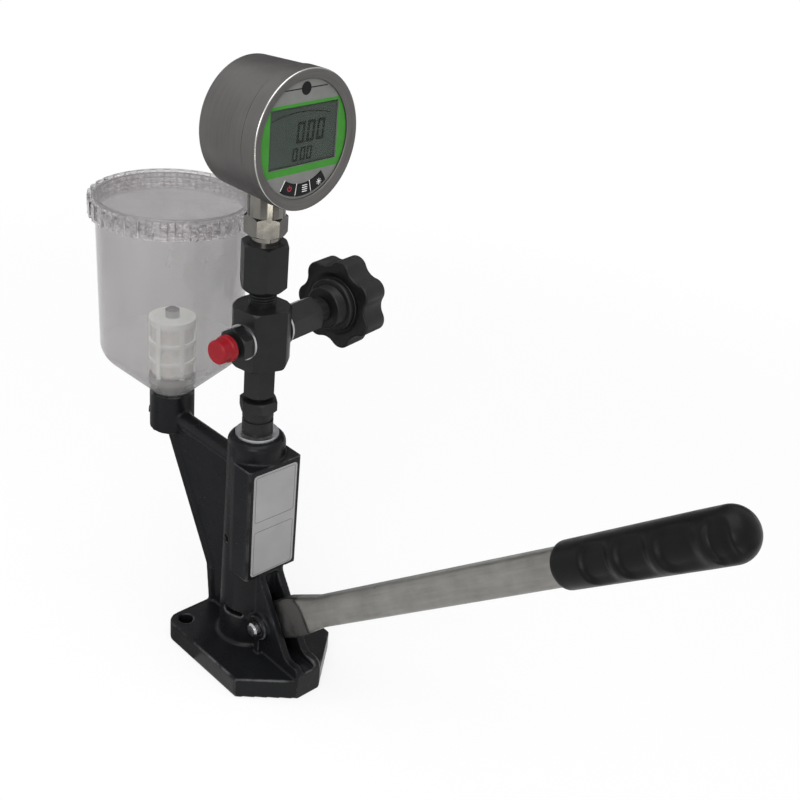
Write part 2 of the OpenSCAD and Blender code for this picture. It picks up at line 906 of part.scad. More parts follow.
// Round bar with a flat for the outlet, one for the valve and one at the front
module manifold_block() {
    edge = 1.2;
    r = block_d / 2;
    ground = 3;
    ground_h = 5.6;
    run_out = 0.5;
    low_depth = connector_thread_h + run_out;
    top_depth = adapter_thread_h + run_out;
    side_depth = side_thread_h + run_out;
    seat_y = block_half - side_depth - 7;
    color("#2a2c2f")
        translate([0, 0, block_z])
            rotate([0, 0, block_yaw])
                difference() {
                    rotate_extrude()
                        polygon([
                            [0, 0], [r - edge, 0], [r, edge], [r, block_h - edge],
                            [r - edge, block_h], [0, block_h]]);
                    for (side = [-1, 1])
                        translate([-r, side * (block_half + r) - r, -1])
                            cube([2 * r, 2 * r, block_h + 2]);
                    rotate([0, 0, -front_turn])
                        translate([block_front, -r, -1])
                            cube([r, 2 * r, block_h + 2]);
                    // corner ground off between the front flat and the valve
                    rotate([0, 0, 37])
                        translate([r - ground, -r, 0])
                            rotate([0, atan(ground / ground_h), 0])
                                translate([0, 0, -ground_h])
                                    cube([r, 2 * r, 3 * ground_h]);
                    translate([0, 0, -1])
                        cylinder(d = connector_thread_d, h = low_depth + 1);
                    translate([0, 0, block_h - top_depth])
                        cylinder(d = adapter_thread_d, h = top_depth + 1);
                    // outlet and valve threads, with the drillings that join them
                    translate([0, side_depth - block_half, cross_rise])
                        rotate([90, 0, 0])
                            cylinder(d = outlet_d, h = side_depth + 1);
                    translate([0, block_half - side_depth, cross_rise])
                        rotate([-90, 0, 0])
                            cylinder(d = valve_thread_d, h = side_depth + 1);
                    translate([0, seat_y, cross_rise])
                        rotate([-90, 0, 0])
                            cylinder(d = needle_d + 1, h = side_depth);
                    translate([0, 0, cross_rise])
                        rotate([90, 0, 0])
                            cylinder(d = 2.5, h = 2 * (block_half - side_depth) + 2, center = true);
                    translate([0, -3, low_depth - 1])
                        cylinder(d = 2.5, h = cross_rise - low_depth + 1);
                    translate([0, 5, cross_rise])
                        cylinder(d = 2.5, h = block_h - top_depth - cross_rise + 1);
                }
}

module outlet_washer() {
    color("#d6d7d9")
        at_outlet()
            translate([0, 0, block_half])
                ring(22.6, outlet_d + 0.4, side_washer_t);
}

module outlet_union() {
    cone_depth = 3;
    color("#26282b")
        at_outlet()
            difference() {
                union() {
                    translate([0, 0, block_half - side_thread_h])
                        cylinder(d = outlet_d - 2 * thread_gap, h = side_thread_h + side_washer_t + 1);
                    translate([0, 0, union_hex])
                        rotate([0, 0, 30])
                            hex_bar(union_af, union_hex_h);
                    translate([0, 0, union_end - 1])
                        cylinder(d = outlet_d, h = outlet_len + 1);
                }
                cylinder(d = 3, h = union_end + outlet_len + 1);
                translate([0, 0, union_end + outlet_len - cone_depth])
                    cylinder(d1 = 3, d2 = 8, h = cone_depth + 0.01);
            }
}

module outlet_cap() {
    bore_d = outlet_d + 1.24;
    cap_d = outlet_d + 3;
    flange_d = outlet_d + 4.8;
    flange_h = 3.2;
    start = union_end + 3;
    inside = union_end + outlet_len + 0.8;
    length = inside + 1.6 - start;
    edge = 0.8;
    color("#bf2830")
        at_outlet()
            translate([0, 0, start])
                rotate_extrude()
                    polygon([
                        [bore_d / 2, 0], [flange_d / 2 - 0.4, 0], [flange_d / 2, 0.4],
                        [flange_d / 2, flange_h], [cap_d / 2, flange_h + 0.8],
                        [cap_d / 2, length - edge], [cap_d / 2 - edge, length], [0, length],
                        [0, inside - start], [bore_d / 2, inside - start]]);
}

// Shut-off valve

module valve_washer() {
    color("#d6d7d9")
        at_valve()
            translate([0, 0, block_half])
                ring(24, valve_thread_d + 0.4, side_washer_t);
}

module valve_body() {
    color("#26282b")
        at_valve()
            difference() {
                union() {
                    translate([0, 0, block_half - side_thread_h])
                        cylinder(
                            d = valve_thread_d - 2 * thread_gap,
                            h = side_thread_h + side_washer_t + 1);
                    translate([0, 0, valve_hex])
                        rotate([0, 0, 30])
                            hex_bar(valve_af, valve_end - valve_hex);
                    rotate_extrude()
                        polygon([
                            [0, valve_end - 1], [gland_d / 2, valve_end - 1], [gland_d / 2, gland_end - 1],
                            [gland_d / 2 - 1, gland_end], [0, gland_end]]);
                }
                cylinder(d = needle_d + 1, h = valve_end);
                // undercut where the spindle's thread ends
                translate([0, 0, packing_z + packing_h])
                    cylinder(d = spindle_d + 1, h = 2 * spindle_pitch);
                translate([0, 0, packing_z])
                    cylinder(d = 10, h = packing_h + 1);
                translate([0, 0, packing_z + packing_h])
                    cylinder(d = spindle_d + 2 * run_gap, h = valve_end);
            }
}

module valve_packing() {
    rings = 3;
    h = packing_h / rings;
    color("#e8e6df")
        at_valve()
            for (i = [0 : rings - 1])
                translate([0, 0, packing_z + i * h])
                    ring(10 - 2 * thread_gap, needle_d + 2 * run_gap, h - 0.1);
}

// Needle that slides without turning: its head swivels in the end of the spindle
module valve_needle() {
    tip = block_half - 15.6;
    color("#b9babd")
        at_valve()
            rotate_extrude()
                polygon([
                    [0, tip], [0.6, tip], [needle_d / 2, tip + 4], [needle_d / 2, spindle_z + 1.2],
                    [3.4, spindle_z + 1.2], [3.4, spindle_z + 4], [0, spindle_z + 4]]);
}

module valve_spindle() {
    r = spindle_d / 2;
    color("#9fa0a3")
        at_valve()
            rotate_extrude()
                polygon([
                    [needle_d / 2 + run_gap, spindle_z], [r, spindle_z], [r, knob_z],
                    [shank_d / 2, knob_z], [shank_d / 2, knob_front - 5], [0, knob_front - 5],
                    [0, spindle_z + 4 + run_gap], [3.4 + run_gap, spindle_z + 4 + run_gap],
                    [3.4 + run_gap, spindle_z + 1.2 - run_gap],
                    [needle_d / 2 + run_gap, spindle_z + 1.2 - run_gap]]);
}

// Lobes and hollows are circles that meet tangentially on the line between their centres
module star_outline() {
    lobe_r = knob_d * 0.1325;
    lobe_at = knob_d / 2 - lobe_r;
    root_r = knob_d * 0.42;
    half_pitch = 180 / knob_lobes;
    hollow_r = (lobe_at * lobe_at + root_r * root_r - 2 * lobe_at * root_r * cos(half_pitch)
        - lobe_r * lobe_r) / (2 * (lobe_r + lobe_at * cos(half_pitch) - root_r));
    hollow_at = root_r + hollow_r;
    difference() {
        union() {
            polygon([for (i = [0 : knob_lobes - 1]) each [
                lobe_at * [cos(2 * i * half_pitch), sin(2 * i * half_pitch)],
                hollow_at * [cos((2 * i + 1) * half_pitch), sin((2 * i + 1) * half_pitch)]]]);
            for (i = [0 : knob_lobes - 1])
                rotate(2 * i * half_pitch)
                    translate([lobe_at, 0])
                        circle(r = lobe_r);
        }
        for (i = [0 : knob_lobes - 1])
            rotate((2 * i + 1) * half_pitch)
                translate([hollow_at, 0])
                    circle(r = hollow_r);
    }
}

module star_knob() {
    r = knob_d / 2;
    round_r = 4;
    rest_turn = -30.6;
    boss_r = 14;
    hub_r = 18;
    color("#1d1e20")
        at_valve()
            difference() {
                union() {
                    intersection() {
                        translate([0, 0, knob_back])
                            rotate([0, 0, rest_turn])
                                linear_extrude(height = knob_t)
                                    star_outline();
                        rotate_extrude() {
                            translate([0, knob_back])
                                square([r - round_r, knob_t]);
                            translate([0, knob_back + round_r])
                                square([r + 0.1, knob_t - 2 * round_r]);
                            for (z = [knob_back + round_r, knob_front - round_r])
                                translate([r - round_r, z])
                                    circle(r = round_r + 0.1);
                        }
                    }
                    rotate_extrude()
                        polygon([
                            [0, knob_z], [boss_r - 1, knob_z], [boss_r, knob_z + 1], [boss_r, knob_z + 7],
                            [hub_r - 1, knob_z + 7], [hub_r, knob_z + 8], [hub_r, knob_back + 1],
                            [0, knob_back + 1]]);
                }
                translate([0, 0, knob_z - 1])
                    cylinder(d = shank_d + 2 * thread_gap, h = knob_front - 5 - knob_z + 1);
                set_screw_place()
                    cylinder(d = 4 + 2 * thread_gap, h = 20);
            }
}

module set_screw_place() {
    translate([0, shank_d / 2, knob_z + 3.5])
        rotate([-90, 0, 0])
            children();
}

module knob_set_screw() {
    color("#4a4b4e")
        at_valve()
            set_screw_place()
                difference() {
                    translate([0, 0, 0.1])
                        cylinder(d = 4, h = 6);
                    translate([0, 0, 4])
                        cylinder(d = 2.3, h = 3, $fn = 6);
                }
}

// Gauge

module gauge_adapter() {
    socket_h = 16;
    cone_r = adapter_af / 2 - 1.2;
    color("#26282b")
        difference() {
            union() {
                translate([0, 0, block_top - adapter_thread_h])
                    cylinder(d = adapter_thread_d - 2 * thread_gap, h = adapter_thread_h);
                translate([0, 0, block_top - 1])
                    cylinder(d = adapter_thread_d - 1.6, h = adapter_neck + 2);
                translate([0, 0, adapter_hex])
                    intersection() {
                        rotate([0, 0, -29.6])
                            hex_bar(adapter_af, adapter_hex_h);
                        rotate_extrude()
                            polygon([
                                [0, 0], [cone_r, 0], [adapter_af, adapter_af - cone_r],
                                [adapter_af, adapter_hex_h], [0, adapter_hex_h]]);
                    }
            }
            translate([0, 0, block_top - adapter_thread_h - 1])
                cylinder(d = 3, h = adapter_top - block_top + adapter_thread_h);
            translate([0, 0, adapter_top - socket_h])
                cylinder(d = 18, h = socket_h + 1);
        }
}

module gauge_stem() {
    thread_d = 18 - 2 * thread_gap;
    spigot_d = 14;
    spigot_top = gauge_z - case_d / 2 + 10;
    color("#c4c2bb")
        difference() {
            union() {
                translate([0, 0, adapter_top - 15])
                    cylinder(d = thread_d, h = 21);
                translate([0, 0, stem_hex])
                    rotate([0, 0, -1.6])
                        hex_bar(stem_af, stem_hex_h);
                difference() {
                    cylinder_between(stem_af, stem_hex + stem_hex_h - 1, gauge_z - case_d / 2 + 3);
                    at_gauge()
                        rotate_extrude()
                            case_barrel(thread_gap);
                }
                cylinder_between(spigot_d, stem_hex, spigot_top);
            }
            cylinder_between(3, adapter_top - 16, spigot_top - 2);
        }
}

module cylinder_between(d, low, high) {
    translate([0, 0, low])
        cylinder(d = d, h = high - low);
}

module gauge_sensor() {
    color("#b9babd")
        cylinder_between(12, gauge_z - case_d / 2 + 10, gauge_z - case_d / 2 + 16);
}

// Side of the case, which widens a little towards the bezel
module case_barrel(gap = 0) {
    polygon([
        [0, case_edge - case_back], [case_d / 2 + gap, case_edge - case_back],
        [flare_r + gap, case_seam], [0, case_seam]]);
}

module gauge_case() {
    r = case_d / 2;
    back = -case_back;
    inner = r - case_wall;
    color("#8d8b88")
        difference() {
            at_gauge()
                rotate_extrude()
                    difference() {
                        union() {
                            translate([0, back])
                                square([r - case_edge, case_edge + 1]);
                            translate([r - case_edge, back + case_edge])
                                circle(r = case_edge);
                            case_barrel();
                            translate([0, case_seam - 1])
                                square([r, plate_back - case_seam + 1]);
                        }
                        translate([-1, back + case_wall])
                            square([inner - case_edge + 1, 2 * case_edge]);
                        translate([-1, back + case_edge])
                            square([inner + 1, 2 * case_back + face_x]);
                        translate([-2 * r, -2 * r])
                            square([2 * r, 4 * r]);
                    }
            cylinder_between(14 + 2 * thread_gap, gauge_z - flare_r - 1, gauge_z - r / 2);
        }
}

module gauge_bezel() {
    r = bezel_d / 2;
    round_r = 1.2;
    grip_r = case_d / 2 + thread_gap;
    color("#9a9895")
        at_gauge()
            rotate_extrude() {
                polygon([
                    [grip_r, face_x - bezel_t], [r - 0.4, face_x - bezel_t], [r, face_x - bezel_t + 0.4],
                    [r, face_x - round_r], [r - round_r, face_x], [r - round_r - 0.6, face_x],
                    [lip_r + 0.4, plate_front + 1.4], [lip_r, plate_front + 1], [lip_r, plate_front],
                    [grip_r, plate_front]]);
                translate([r - round_r, face_x - round_r])
                    circle(r = round_r);
            }
}

// One key: a slice of a ring, drawn about the middle of the gauge
module key_outline(place, gap = 0) {
    half = key_pitch / 2 - 1.3;
    mid = key_turn - 90 + place * key_pitch;
    far = key_r1 + 10;
    intersection() {
        difference() {
            circle(r = key_r1 + gap);
            circle(r = key_r0 - gap);
        }
        rotate(mid)
            polygon([
                [0, -gap / sin(half)], [far, -far * tan(half) - gap / cos(half)],
                [far, far * tan(half) + gap / cos(half)], [0, gap / sin(half)]]);
    }
}

module gauge_faceplate() {
    color("#b9b8b5")
        at_gauge()
            translate([0, 0, plate_back])
                linear_extrude(height = plate_t)
                    difference() {
                        circle(r = case_d / 2 - 0.2);
                        translate([0, display_y])
                            square([display_w, display_h], center = true);
                        for (place = [-1 : 1])
                            key_outline(place, key_gap);
                    }
}

module gauge_window() {
    color("#9fb0a4")
        at_gauge()
            translate([0, display_y, plate_back])
                difference() {
                    translate([0, 0, 0.45])
                        cube([display_w - 0.1, display_h - 0.1, 0.9], center = true);
                    cube([display_w - 2.1, display_h - 2.1, 0.5], center = true);
                }
}

module gauge_display() {
    border = 3;
    color("#4e5a52")
        at_gauge()
            translate([-display_w / 2 - 1, display_y - display_h / 2 - 2, board_front])
                cube([display_w + 2, display_h + border, plate_back - board_front]);
}

module gauge_circuit_board() {
    color("#2f6b3a")
        at_gauge()
            translate([0, 0, board_front - board_t])
                cylinder(r = case_d / 2 - case_wall - 0.4, h = board_t);
}

module gauge_battery() {
    h = 10;
    color("#3d4f7a")
        at_gauge()
            translate([0, 12, board_front - board_t - h])
                linear_extrude(height = h)
                    rounded_rect(46, 20, 3);
}

// Key cap with a post that reaches down to its switch
module key(place) {
    mid = key_turn - 90 + place * key_pitch;
    mid_r = (key_r0 + key_r1) / 2;
    color("#17181a")
        at_gauge() {
            translate([0, 0, plate_back])
                linear_extrude(height = plate_t + 0.4)
                    key_outline(place);
            translate([mid_r * cos(mid), mid_r * sin(mid), board_front + key_travel + 0.1])
                cylinder(d = 3, h = plate_back - board_front - key_travel);
        }
}

module key_power() {
    key(-1);
}

module key_units() {
    key(0);
}

module key_light() {
    key(1);
}

// Oil cup

// Half section of the cup, with a wall that lies inside the outer face by a depth
module cup_half(depth, low, high) {
    along = (low - cup_z - depth * cos(cone_angle)) / sin(cone_angle);
    low_r = cup_foot_r - depth * sin(cone_angle) + along * cos(cone_angle);
    high_r = cup_d / 2 - depth / cos(draft_angle) + (high - wall_z) * tan(draft_angle);
    polygon([
        [0, low], [low_r, low], round_at + (cup_round_r - depth) * cone_out,
        round_at + (cup_round_r - depth) * wall_out, [high_r, high], [0, high]]);
    translate(round_at)
        circle(r = cup_round_r - depth);
}

module oil_cup() {
    bead = (neck_bead_d - cup_top_d) / 2;
    color([0.86, 0.88, 0.9, 0.35])
        at_cup()
            rotate_extrude()
                difference() {
                    union() {
                        cup_half(0, cup_z, cup_rim);
                        for (i = [1 : 2])
                            translate([cup_top_d / 2 - 0.3, cup_rim - 3.6 * i])
                                polygon([[0, -bead - 0.3], [bead + 0.3, 0], [0, bead + 0.3]]);
                    }
                    cup_half(cup_wall, cup_floor, cup_rim + 1);
                    translate([0, cup_z - 1])
                        square([stud_d / 2 + thread_gap, cup_floor_t + cup_wall + cup_round_r]);
                }
}

module cup_lid() {
    rib_t = 2;
    rib_w = 4.4;
    skirt_r = lid_d / 2 - rib_t;
    top_ring_r = cup_top_d / 2 + 0.8;
    drop = 0.8;
    color([0.86, 0.88, 0.9, 0.4])
        at_cup()
            translate([0, 0, lid_z]) {
                rotate_extrude()
                    polygon([
                        [lid_bore_d / 2, 0], [skirt_r, 0], [skirt_r, lid_h - 0.6], [skirt_r - 0.6, lid_h],
                        [top_ring_r, lid_h], [top_ring_r, lid_h - drop], [0, lid_h - drop],
                        [0, lid_h - lid_top_t], [lid_bore_d / 2, lid_h - lid_top_t]]);
                for (i = [0 : lid_ribs - 1])
                    rotate([0, 0, 360 * i / lid_ribs])
                        translate([skirt_r - 0.6, -rib_w / 2, 0])
                            cube([rib_t + 0.5, rib_w, lid_h - 1.2]);
            }
}

module cup_seal_lower() {
    color("#1a1a1b")
        at_cup()
            translate([0, 0, boss_top])
                ring(boss_d - 2, stud_d + 0.4, cup_seal_t);
}

module cup_seal_upper() {
    color("#1a1a1b")
        at_cup()
            translate([0, 0, cup_floor])
                ring(filter_d, stud_d + 0.4, floor_seal_t);
}

// Hollow stud that holds the cup down and leads the filtered oil to the boss
module cup_stud() {
    color("#b9babd")
        at_cup()
            difference() {
                cylinder_between(stud_d, feed_z + 4, filter_top + 6.2);
                cylinder_between(3, feed_z + 3, filter_top + 7);
                translate([0, 0, filter_z + 6])
                    rotate([90, 0, 0])
                        cylinder(d = 2, h = stud_d + 2, center = true);
            }
}

module filter_cage() {
    columns = 6;
    rows = 3;
    wall = 1.5;
    rail = 4;
    sill = 2.2;
    pitch = (filter_h - 6) / rows;
    window_w = PI * filter_d / columns - rail;
    color("#eceae4")
        at_cup()
            translate([0, 0, filter_z])
                difference() {
                    cylinder(d = filter_d, h = filter_h);
                    translate([0, 0, -1])
                        cylinder(d = filter_d - 2 * wall, h = filter_h - 1);
                    cylinder(d = stud_d + 2 * thread_gap, h = filter_h + 1);
                    for (i = [0 : columns - 1], j = [0 : rows - 1])
                        rotate([0, 0, 360 * i / columns - 40])
                            translate([filter_d / 2 - wall - 2, -window_w / 2, 3 + j * pitch + sill / 2])
                                cube([wall + 4, window_w, pitch - sill]);
                }
}

module filter_mesh() {
    mesh_d = filter_d - 3.2;
    color("#f4f3ee")
        at_cup()
            translate([0, 0, filter_z])
                ring(mesh_d, mesh_d - 0.8, filter_h - 2);
}

module filter_nut() {
    color("#a9a9a6")
        at_cup()
            translate([0, 0, filter_top])
                ring(9.7, stud_d + 2 * thread_gap, 5);
}

module feed_plug() {
    color("#5a5b5e")
        translate([-cup_x - boss_d / 2 - 2, 0, feed_z])
            rotate([0, 90, 0])
                difference() {
                    cylinder(d = 7 - 2 * thread_gap, h = 8);
                    translate([0, 0, -1])
                        cylinder(d = 4, h = 4, $fn = 6);
                }
}

// Radial hole in the boss, on the side that faces left in the usual view
module bleed_screw_place() {
    at_cup()
        translate([0, 0, boss_top - 18])
            rotate([0, 0, 226])
                translate([stud_d / 2, 0, 0])
                    rotate([0, 90, 0])
                        children();
}

module bleed_screw() {
    color("#3a3b3e")
        bleed_screw_place()
            translate([0, 0, 0.2])
                cylinder(d = bleed_screw_d, h = boss_d / 2 - stud_d / 2 + 0.4);
}

pump_body();
pump_barrel();
plunger();
tappet();
spring_seat();
plunger_spring();
spring_washer();
delivery_valve_seat();
delivery_valve();
delivery_valve_spring();
delivery_valve_holder();
holder_washer();
connector();
manifold_block();
outlet_union();
outlet_washer();
outlet_cap();
valve_body();
valve_washer();
valve_packing();
valve_needle();
valve_spindle();
star_knob();
knob_set_screw();
gauge_adapter();
gauge_stem();
gauge_sensor();
gauge_case();
gauge_bezel();
gauge_faceplate();
gauge_window();
gauge_display();
gauge_circuit_board();
gauge_battery();
key_power();
key_units();
key_light();
lever_bar();
lever_bush();
lever_grip();
pivot_pin();
oil_cup();
cup_lid();
cup_seal_lower();
cup_seal_upper();
cup_stud();
filter_cage();
filter_mesh();
filter_nut();
feed_plug();
bleed_screw();
label_plate();
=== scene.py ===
"""Looks of the hand-lever injector nozzle tester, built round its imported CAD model."""
import json
import math

import bmesh
import bpy
from mathutils import Matrix, Vector

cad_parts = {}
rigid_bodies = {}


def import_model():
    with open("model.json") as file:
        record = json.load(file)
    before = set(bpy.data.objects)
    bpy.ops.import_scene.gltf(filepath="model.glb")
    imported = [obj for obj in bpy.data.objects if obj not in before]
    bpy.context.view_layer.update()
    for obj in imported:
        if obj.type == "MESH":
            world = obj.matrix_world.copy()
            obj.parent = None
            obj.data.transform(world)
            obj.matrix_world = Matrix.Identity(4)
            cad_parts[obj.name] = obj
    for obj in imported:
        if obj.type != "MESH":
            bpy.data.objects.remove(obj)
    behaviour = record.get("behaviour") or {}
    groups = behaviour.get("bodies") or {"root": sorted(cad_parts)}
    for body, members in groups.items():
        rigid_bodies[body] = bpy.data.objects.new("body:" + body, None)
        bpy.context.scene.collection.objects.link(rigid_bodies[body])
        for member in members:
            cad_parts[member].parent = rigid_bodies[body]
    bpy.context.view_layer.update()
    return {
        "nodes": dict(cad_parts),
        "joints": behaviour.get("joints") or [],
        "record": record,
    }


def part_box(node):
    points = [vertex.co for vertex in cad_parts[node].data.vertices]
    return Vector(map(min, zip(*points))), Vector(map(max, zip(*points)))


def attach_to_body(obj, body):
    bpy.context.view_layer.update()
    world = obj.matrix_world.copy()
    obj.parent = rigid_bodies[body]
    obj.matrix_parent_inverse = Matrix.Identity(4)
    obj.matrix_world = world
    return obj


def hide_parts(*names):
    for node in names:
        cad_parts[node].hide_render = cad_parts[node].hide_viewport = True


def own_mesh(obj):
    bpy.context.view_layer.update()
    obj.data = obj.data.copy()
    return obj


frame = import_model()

scene = bpy.context.scene
nodes = frame["nodes"]
MM = 0.001

# Places and sizes that pieces are built on, as in the CAD source, in millimetres
PIVOT = Vector((25.0, 0.0, 36.0))
LEVER_ANGLE = math.radians(38.5)
LEVER_LEN = 400.0
GRIP_LEN = 115.5
CROSS_Z = 242.1
BLOCK_YAW = math.radians(9.5)
GAUGE_Z = 370.8
GAUGE_YAW = math.radians(5.65)
CUP_X = -95.5
LABEL_MIDDLE = (20.8, 0, 116)
PLATE_FRONT = 27.0
PLATE_BACK = 26.0
KEY_TOP = 27.4
BEZEL_R = 40.0
BEZEL_FRONT = 30.0
BEZEL_ROUND = 1.2

# Where the plastic of cup and lid changes, in metres from the foot of the cup's axis
CONE_TOP = 0.197
NECK_LOW = 0.2915
LID_SKIRT_R = 0.0501
LID_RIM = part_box("cup_lid")[1].z - 0.0022
# A limit that no point of cup or lid gets to
OUT_OF_REACH = 1.0
# Number of ribs round the lid, and the pitch in metres of the thread behind them
LID_RIBS = 36.0
LID_PITCH = 0.0031


def frame_matrix(origin, x, y, z):
    """A local frame with its origin and its three axes."""
    m = Matrix((x, y, z)).transposed().to_4x4()
    m.translation = Vector(origin)
    return m


lever_frame = frame_matrix(
    PIVOT,
    (math.cos(LEVER_ANGLE), 0, math.sin(LEVER_ANGLE)),
    (0, 1, 0),
    (-math.sin(LEVER_ANGLE), 0, math.cos(LEVER_ANGLE)),
)
valve_frame = frame_matrix(
    (0, 0, CROSS_Z),
    (math.cos(BLOCK_YAW), math.sin(BLOCK_YAW), 0),
    (0, 0, -1),
    (-math.sin(BLOCK_YAW), math.cos(BLOCK_YAW), 0),
)
gauge_frame = frame_matrix(
    (0, 0, GAUGE_Z),
    (-math.sin(GAUGE_YAW), math.cos(GAUGE_YAW), 0),
    (0, 0, 1),
    (math.cos(GAUGE_YAW), math.sin(GAUGE_YAW), 0),
)
label_frame = frame_matrix(LABEL_MIDDLE, (0, 1, 0), (0, 0, 1), (1, 0, 0))
upright_frame = Matrix.Identity(4)


# Shader nodes

# Sockets of a mix node that mixes colours
MIX_FACTOR, MIX_FIRST, MIX_SECOND, MIX_RESULT = 0, 6, 7, 2


def link(tree, a, b):
    tree.links.new(a, b)


def mapped(tree, vector, socket, value):
    mapping = tree.nodes.new("ShaderNodeMapping")
    mapping.inputs[socket].default_value = value
    link(tree, vector, mapping.inputs["Vector"])
    return mapping.outputs["Vector"]


def object_coords(tree, stretch=None, turn=None):
    """Object coordinates, turned first and then stretched."""
    vector = tree.nodes.new("ShaderNodeTexCoord").outputs["Object"]
    if turn is not None:
        vector = mapped(tree, vector, "Rotation", turn)
    if stretch is not None:
        vector = mapped(tree, vector, "Scale", stretch)
    return vector


def noise(tree, vector, scale, detail=3.0, rough=0.55):
    tex = tree.nodes.new("ShaderNodeTexNoise")
    tex.inputs["Scale"].default_value = scale
    tex.inputs["Detail"].default_value = detail
    tex.inputs["Roughness"].default_value = rough
    link(tree, vector, tex.inputs["Vector"])
    return tex.outputs["Fac"]


def stretched_noise(tree, stretch, detail=2.0, rough=0.55):
    """Noise whose scale differs along X, Y and Z."""
    return noise(tree, object_coords(tree, stretch), 1.0, detail, rough)


def ranged(tree, value, low, high, to_low, to_high):
    node = tree.nodes.new("ShaderNodeMapRange")
    node.inputs["From Min"].default_value = low
    node.inputs["From Max"].default_value = high
    node.inputs["To Min"].default_value = to_low
    node.inputs["To Max"].default_value = to_high
    link(tree, value, node.inputs["Value"])
    return node.outputs["Result"]


def mixed(tree, factor, a, b):
    """Colour a to colour b by factor. a or b is a colour or a socket."""
    node = tree.nodes.new("ShaderNodeMix")
    node.data_type = "RGBA"
    link(tree, factor, node.inputs[MIX_FACTOR])
    for socket, value in ((node.inputs[MIX_FIRST], a), (node.inputs[MIX_SECOND], b)):
        if isinstance(value, tuple):
            socket.default_value = (*value, 1)
        else:
            link(tree, value, socket)
    return node.outputs[MIX_RESULT]


def bumped(tree, height, distance, strength=1.0, under=None):
    node = tree.nodes.new("ShaderNodeBump")
    node.inputs["Strength"].default_value = strength
    node.inputs["Distance"].default_value = distance
    link(tree, height, node.inputs["Height"])
    if under is not None:
        link(tree, under, node.inputs["Normal"])
    return node.outputs["Normal"]


def distance_from(tree, place):
    """Distance in metres of a surface point from a place, in the object's own coordinates."""
    apart = tree.nodes.new("ShaderNodeVectorMath")
    apart.operation = "DISTANCE"
    apart.inputs[1].default_value = place
    link(tree, object_coords(tree), apart.inputs[0])
    return apart.outputs["Value"]


def combined(tree, operation, first, second=0.0):
    """One step of arithmetic on sockets or plain numbers."""
    math_node = tree.nodes.new("ShaderNodeMath")
    math_node.operation = operation
    for socket, value in zip(math_node.inputs, (first, second)):
        if isinstance(value, float):
            socket.default_value = value
        else:
            link(tree, value, socket)
    return math_node.outputs[0]


def separated(tree, vector):
    """Sockets with x, y and z of a vector."""
    parts = tree.nodes.new("ShaderNodeSeparateXYZ")
    link(tree, vector, parts.inputs[0])
    return parts.outputs


def new_material(name):
    """A material with its node tree and its main shader."""
    mat = bpy.data.materials.new(name)
    mat.use_nodes = True
    return mat, mat.node_tree, mat.node_tree.nodes["Principled BSDF"]


# Camera, floor and light

# The photo's viewpoint: where the camera stands, which way its back faces, and how far it leans
CAMERA_PLACE = (0.51796, -0.41747, 0.55427)
CAMERA_AZIMUTH = math.radians(-46.569)
CAMERA_ELEVATION = math.radians(27.805)
CAMERA_ROLL = math.radians(6.011)
SENSOR_MM = 36
LENS_MM = 53.28

FLOOR_HALF = 6.0
FLOOR_DROP = 0.0004
CARD_LIFT = 0.0005
CARD_WARMTH = (1, 0.965, 0.86, 1)
WHITE = (1, 1, 1)


def make_camera():
    data = bpy.data.cameras.new("camera")
    data.sensor_width = SENSOR_MM
    data.lens = LENS_MM
    data.clip_start = 0.01
    data.clip_end = 50
    cam = bpy.data.objects.new("camera", data)
    scene.collection.objects.link(cam)
    quarter = math.radians(90)
    heading = Matrix.Rotation(quarter + CAMERA_AZIMUTH, 4, "Z")
    tilt = Matrix.Rotation(quarter - CAMERA_ELEVATION, 4, "X")
    lean = Matrix.Rotation(CAMERA_ROLL, 4, "Z")
    cam.matrix_world = Matrix.Translation(CAMERA_PLACE) @ heading @ tilt @ lean
    scene.camera = cam


def seen_directly(tree):
    """1 for rays that come from the camera, from a mirror or through glass."""
    path = tree.nodes.new("ShaderNodeLightPath").outputs
    direct = combined(tree, "MAXIMUM", path["Is Camera Ray"], path["Is Glossy Ray"])
    return combined(tree, "MAXIMUM", direct, path["Is Transmission Ray"])


def tinted_shader(tree, kind, colour, strength=None):
    node = tree.nodes.new(kind)
    node.inputs["Color"].default_value = (*colour, 1)
    if strength is not None:
        node.inputs["Strength"].default_value = strength
    return node


def end_in_mix(tree, factor, first, second, output):
    """Ends a node tree in a mix of two shaders, from the first to the second by factor."""
    mix = tree.nodes.new("ShaderNodeMixShader")
    link(tree, factor, mix.inputs[0])
    link(tree, first.outputs[0], mix.inputs[1])
    link(tree, second.outputs[0], mix.inputs[2])
    link(tree, mix.outputs[0], tree.nodes.new(output).inputs["Surface"])


def make_world():
    """Soft light from all round, and plain white where the surroundings are seen directly."""
    world = bpy.data.worlds.new("studio")
    scene.world = world
    world.use_nodes = True
    tree = world.node_tree
    tree.nodes.clear()
    soft = tinted_shader(tree, "ShaderNodeBackground", (0.98, 0.99, 1.0), 0.5)
    white = tinted_shader(tree, "ShaderNodeBackground", WHITE, 1.0)
    end_in_mix(tree, seen_directly(tree), soft, white, "ShaderNodeOutputWorld")


def flat_sheet(name, corners):
    mesh = bpy.data.meshes.new(name)
    mesh.from_pydata(corners, [], [tuple(range(len(corners)))])
    sheet = bpy.data.objects.new(name, mesh)
    scene.collection.objects.link(sheet)
    return sheet


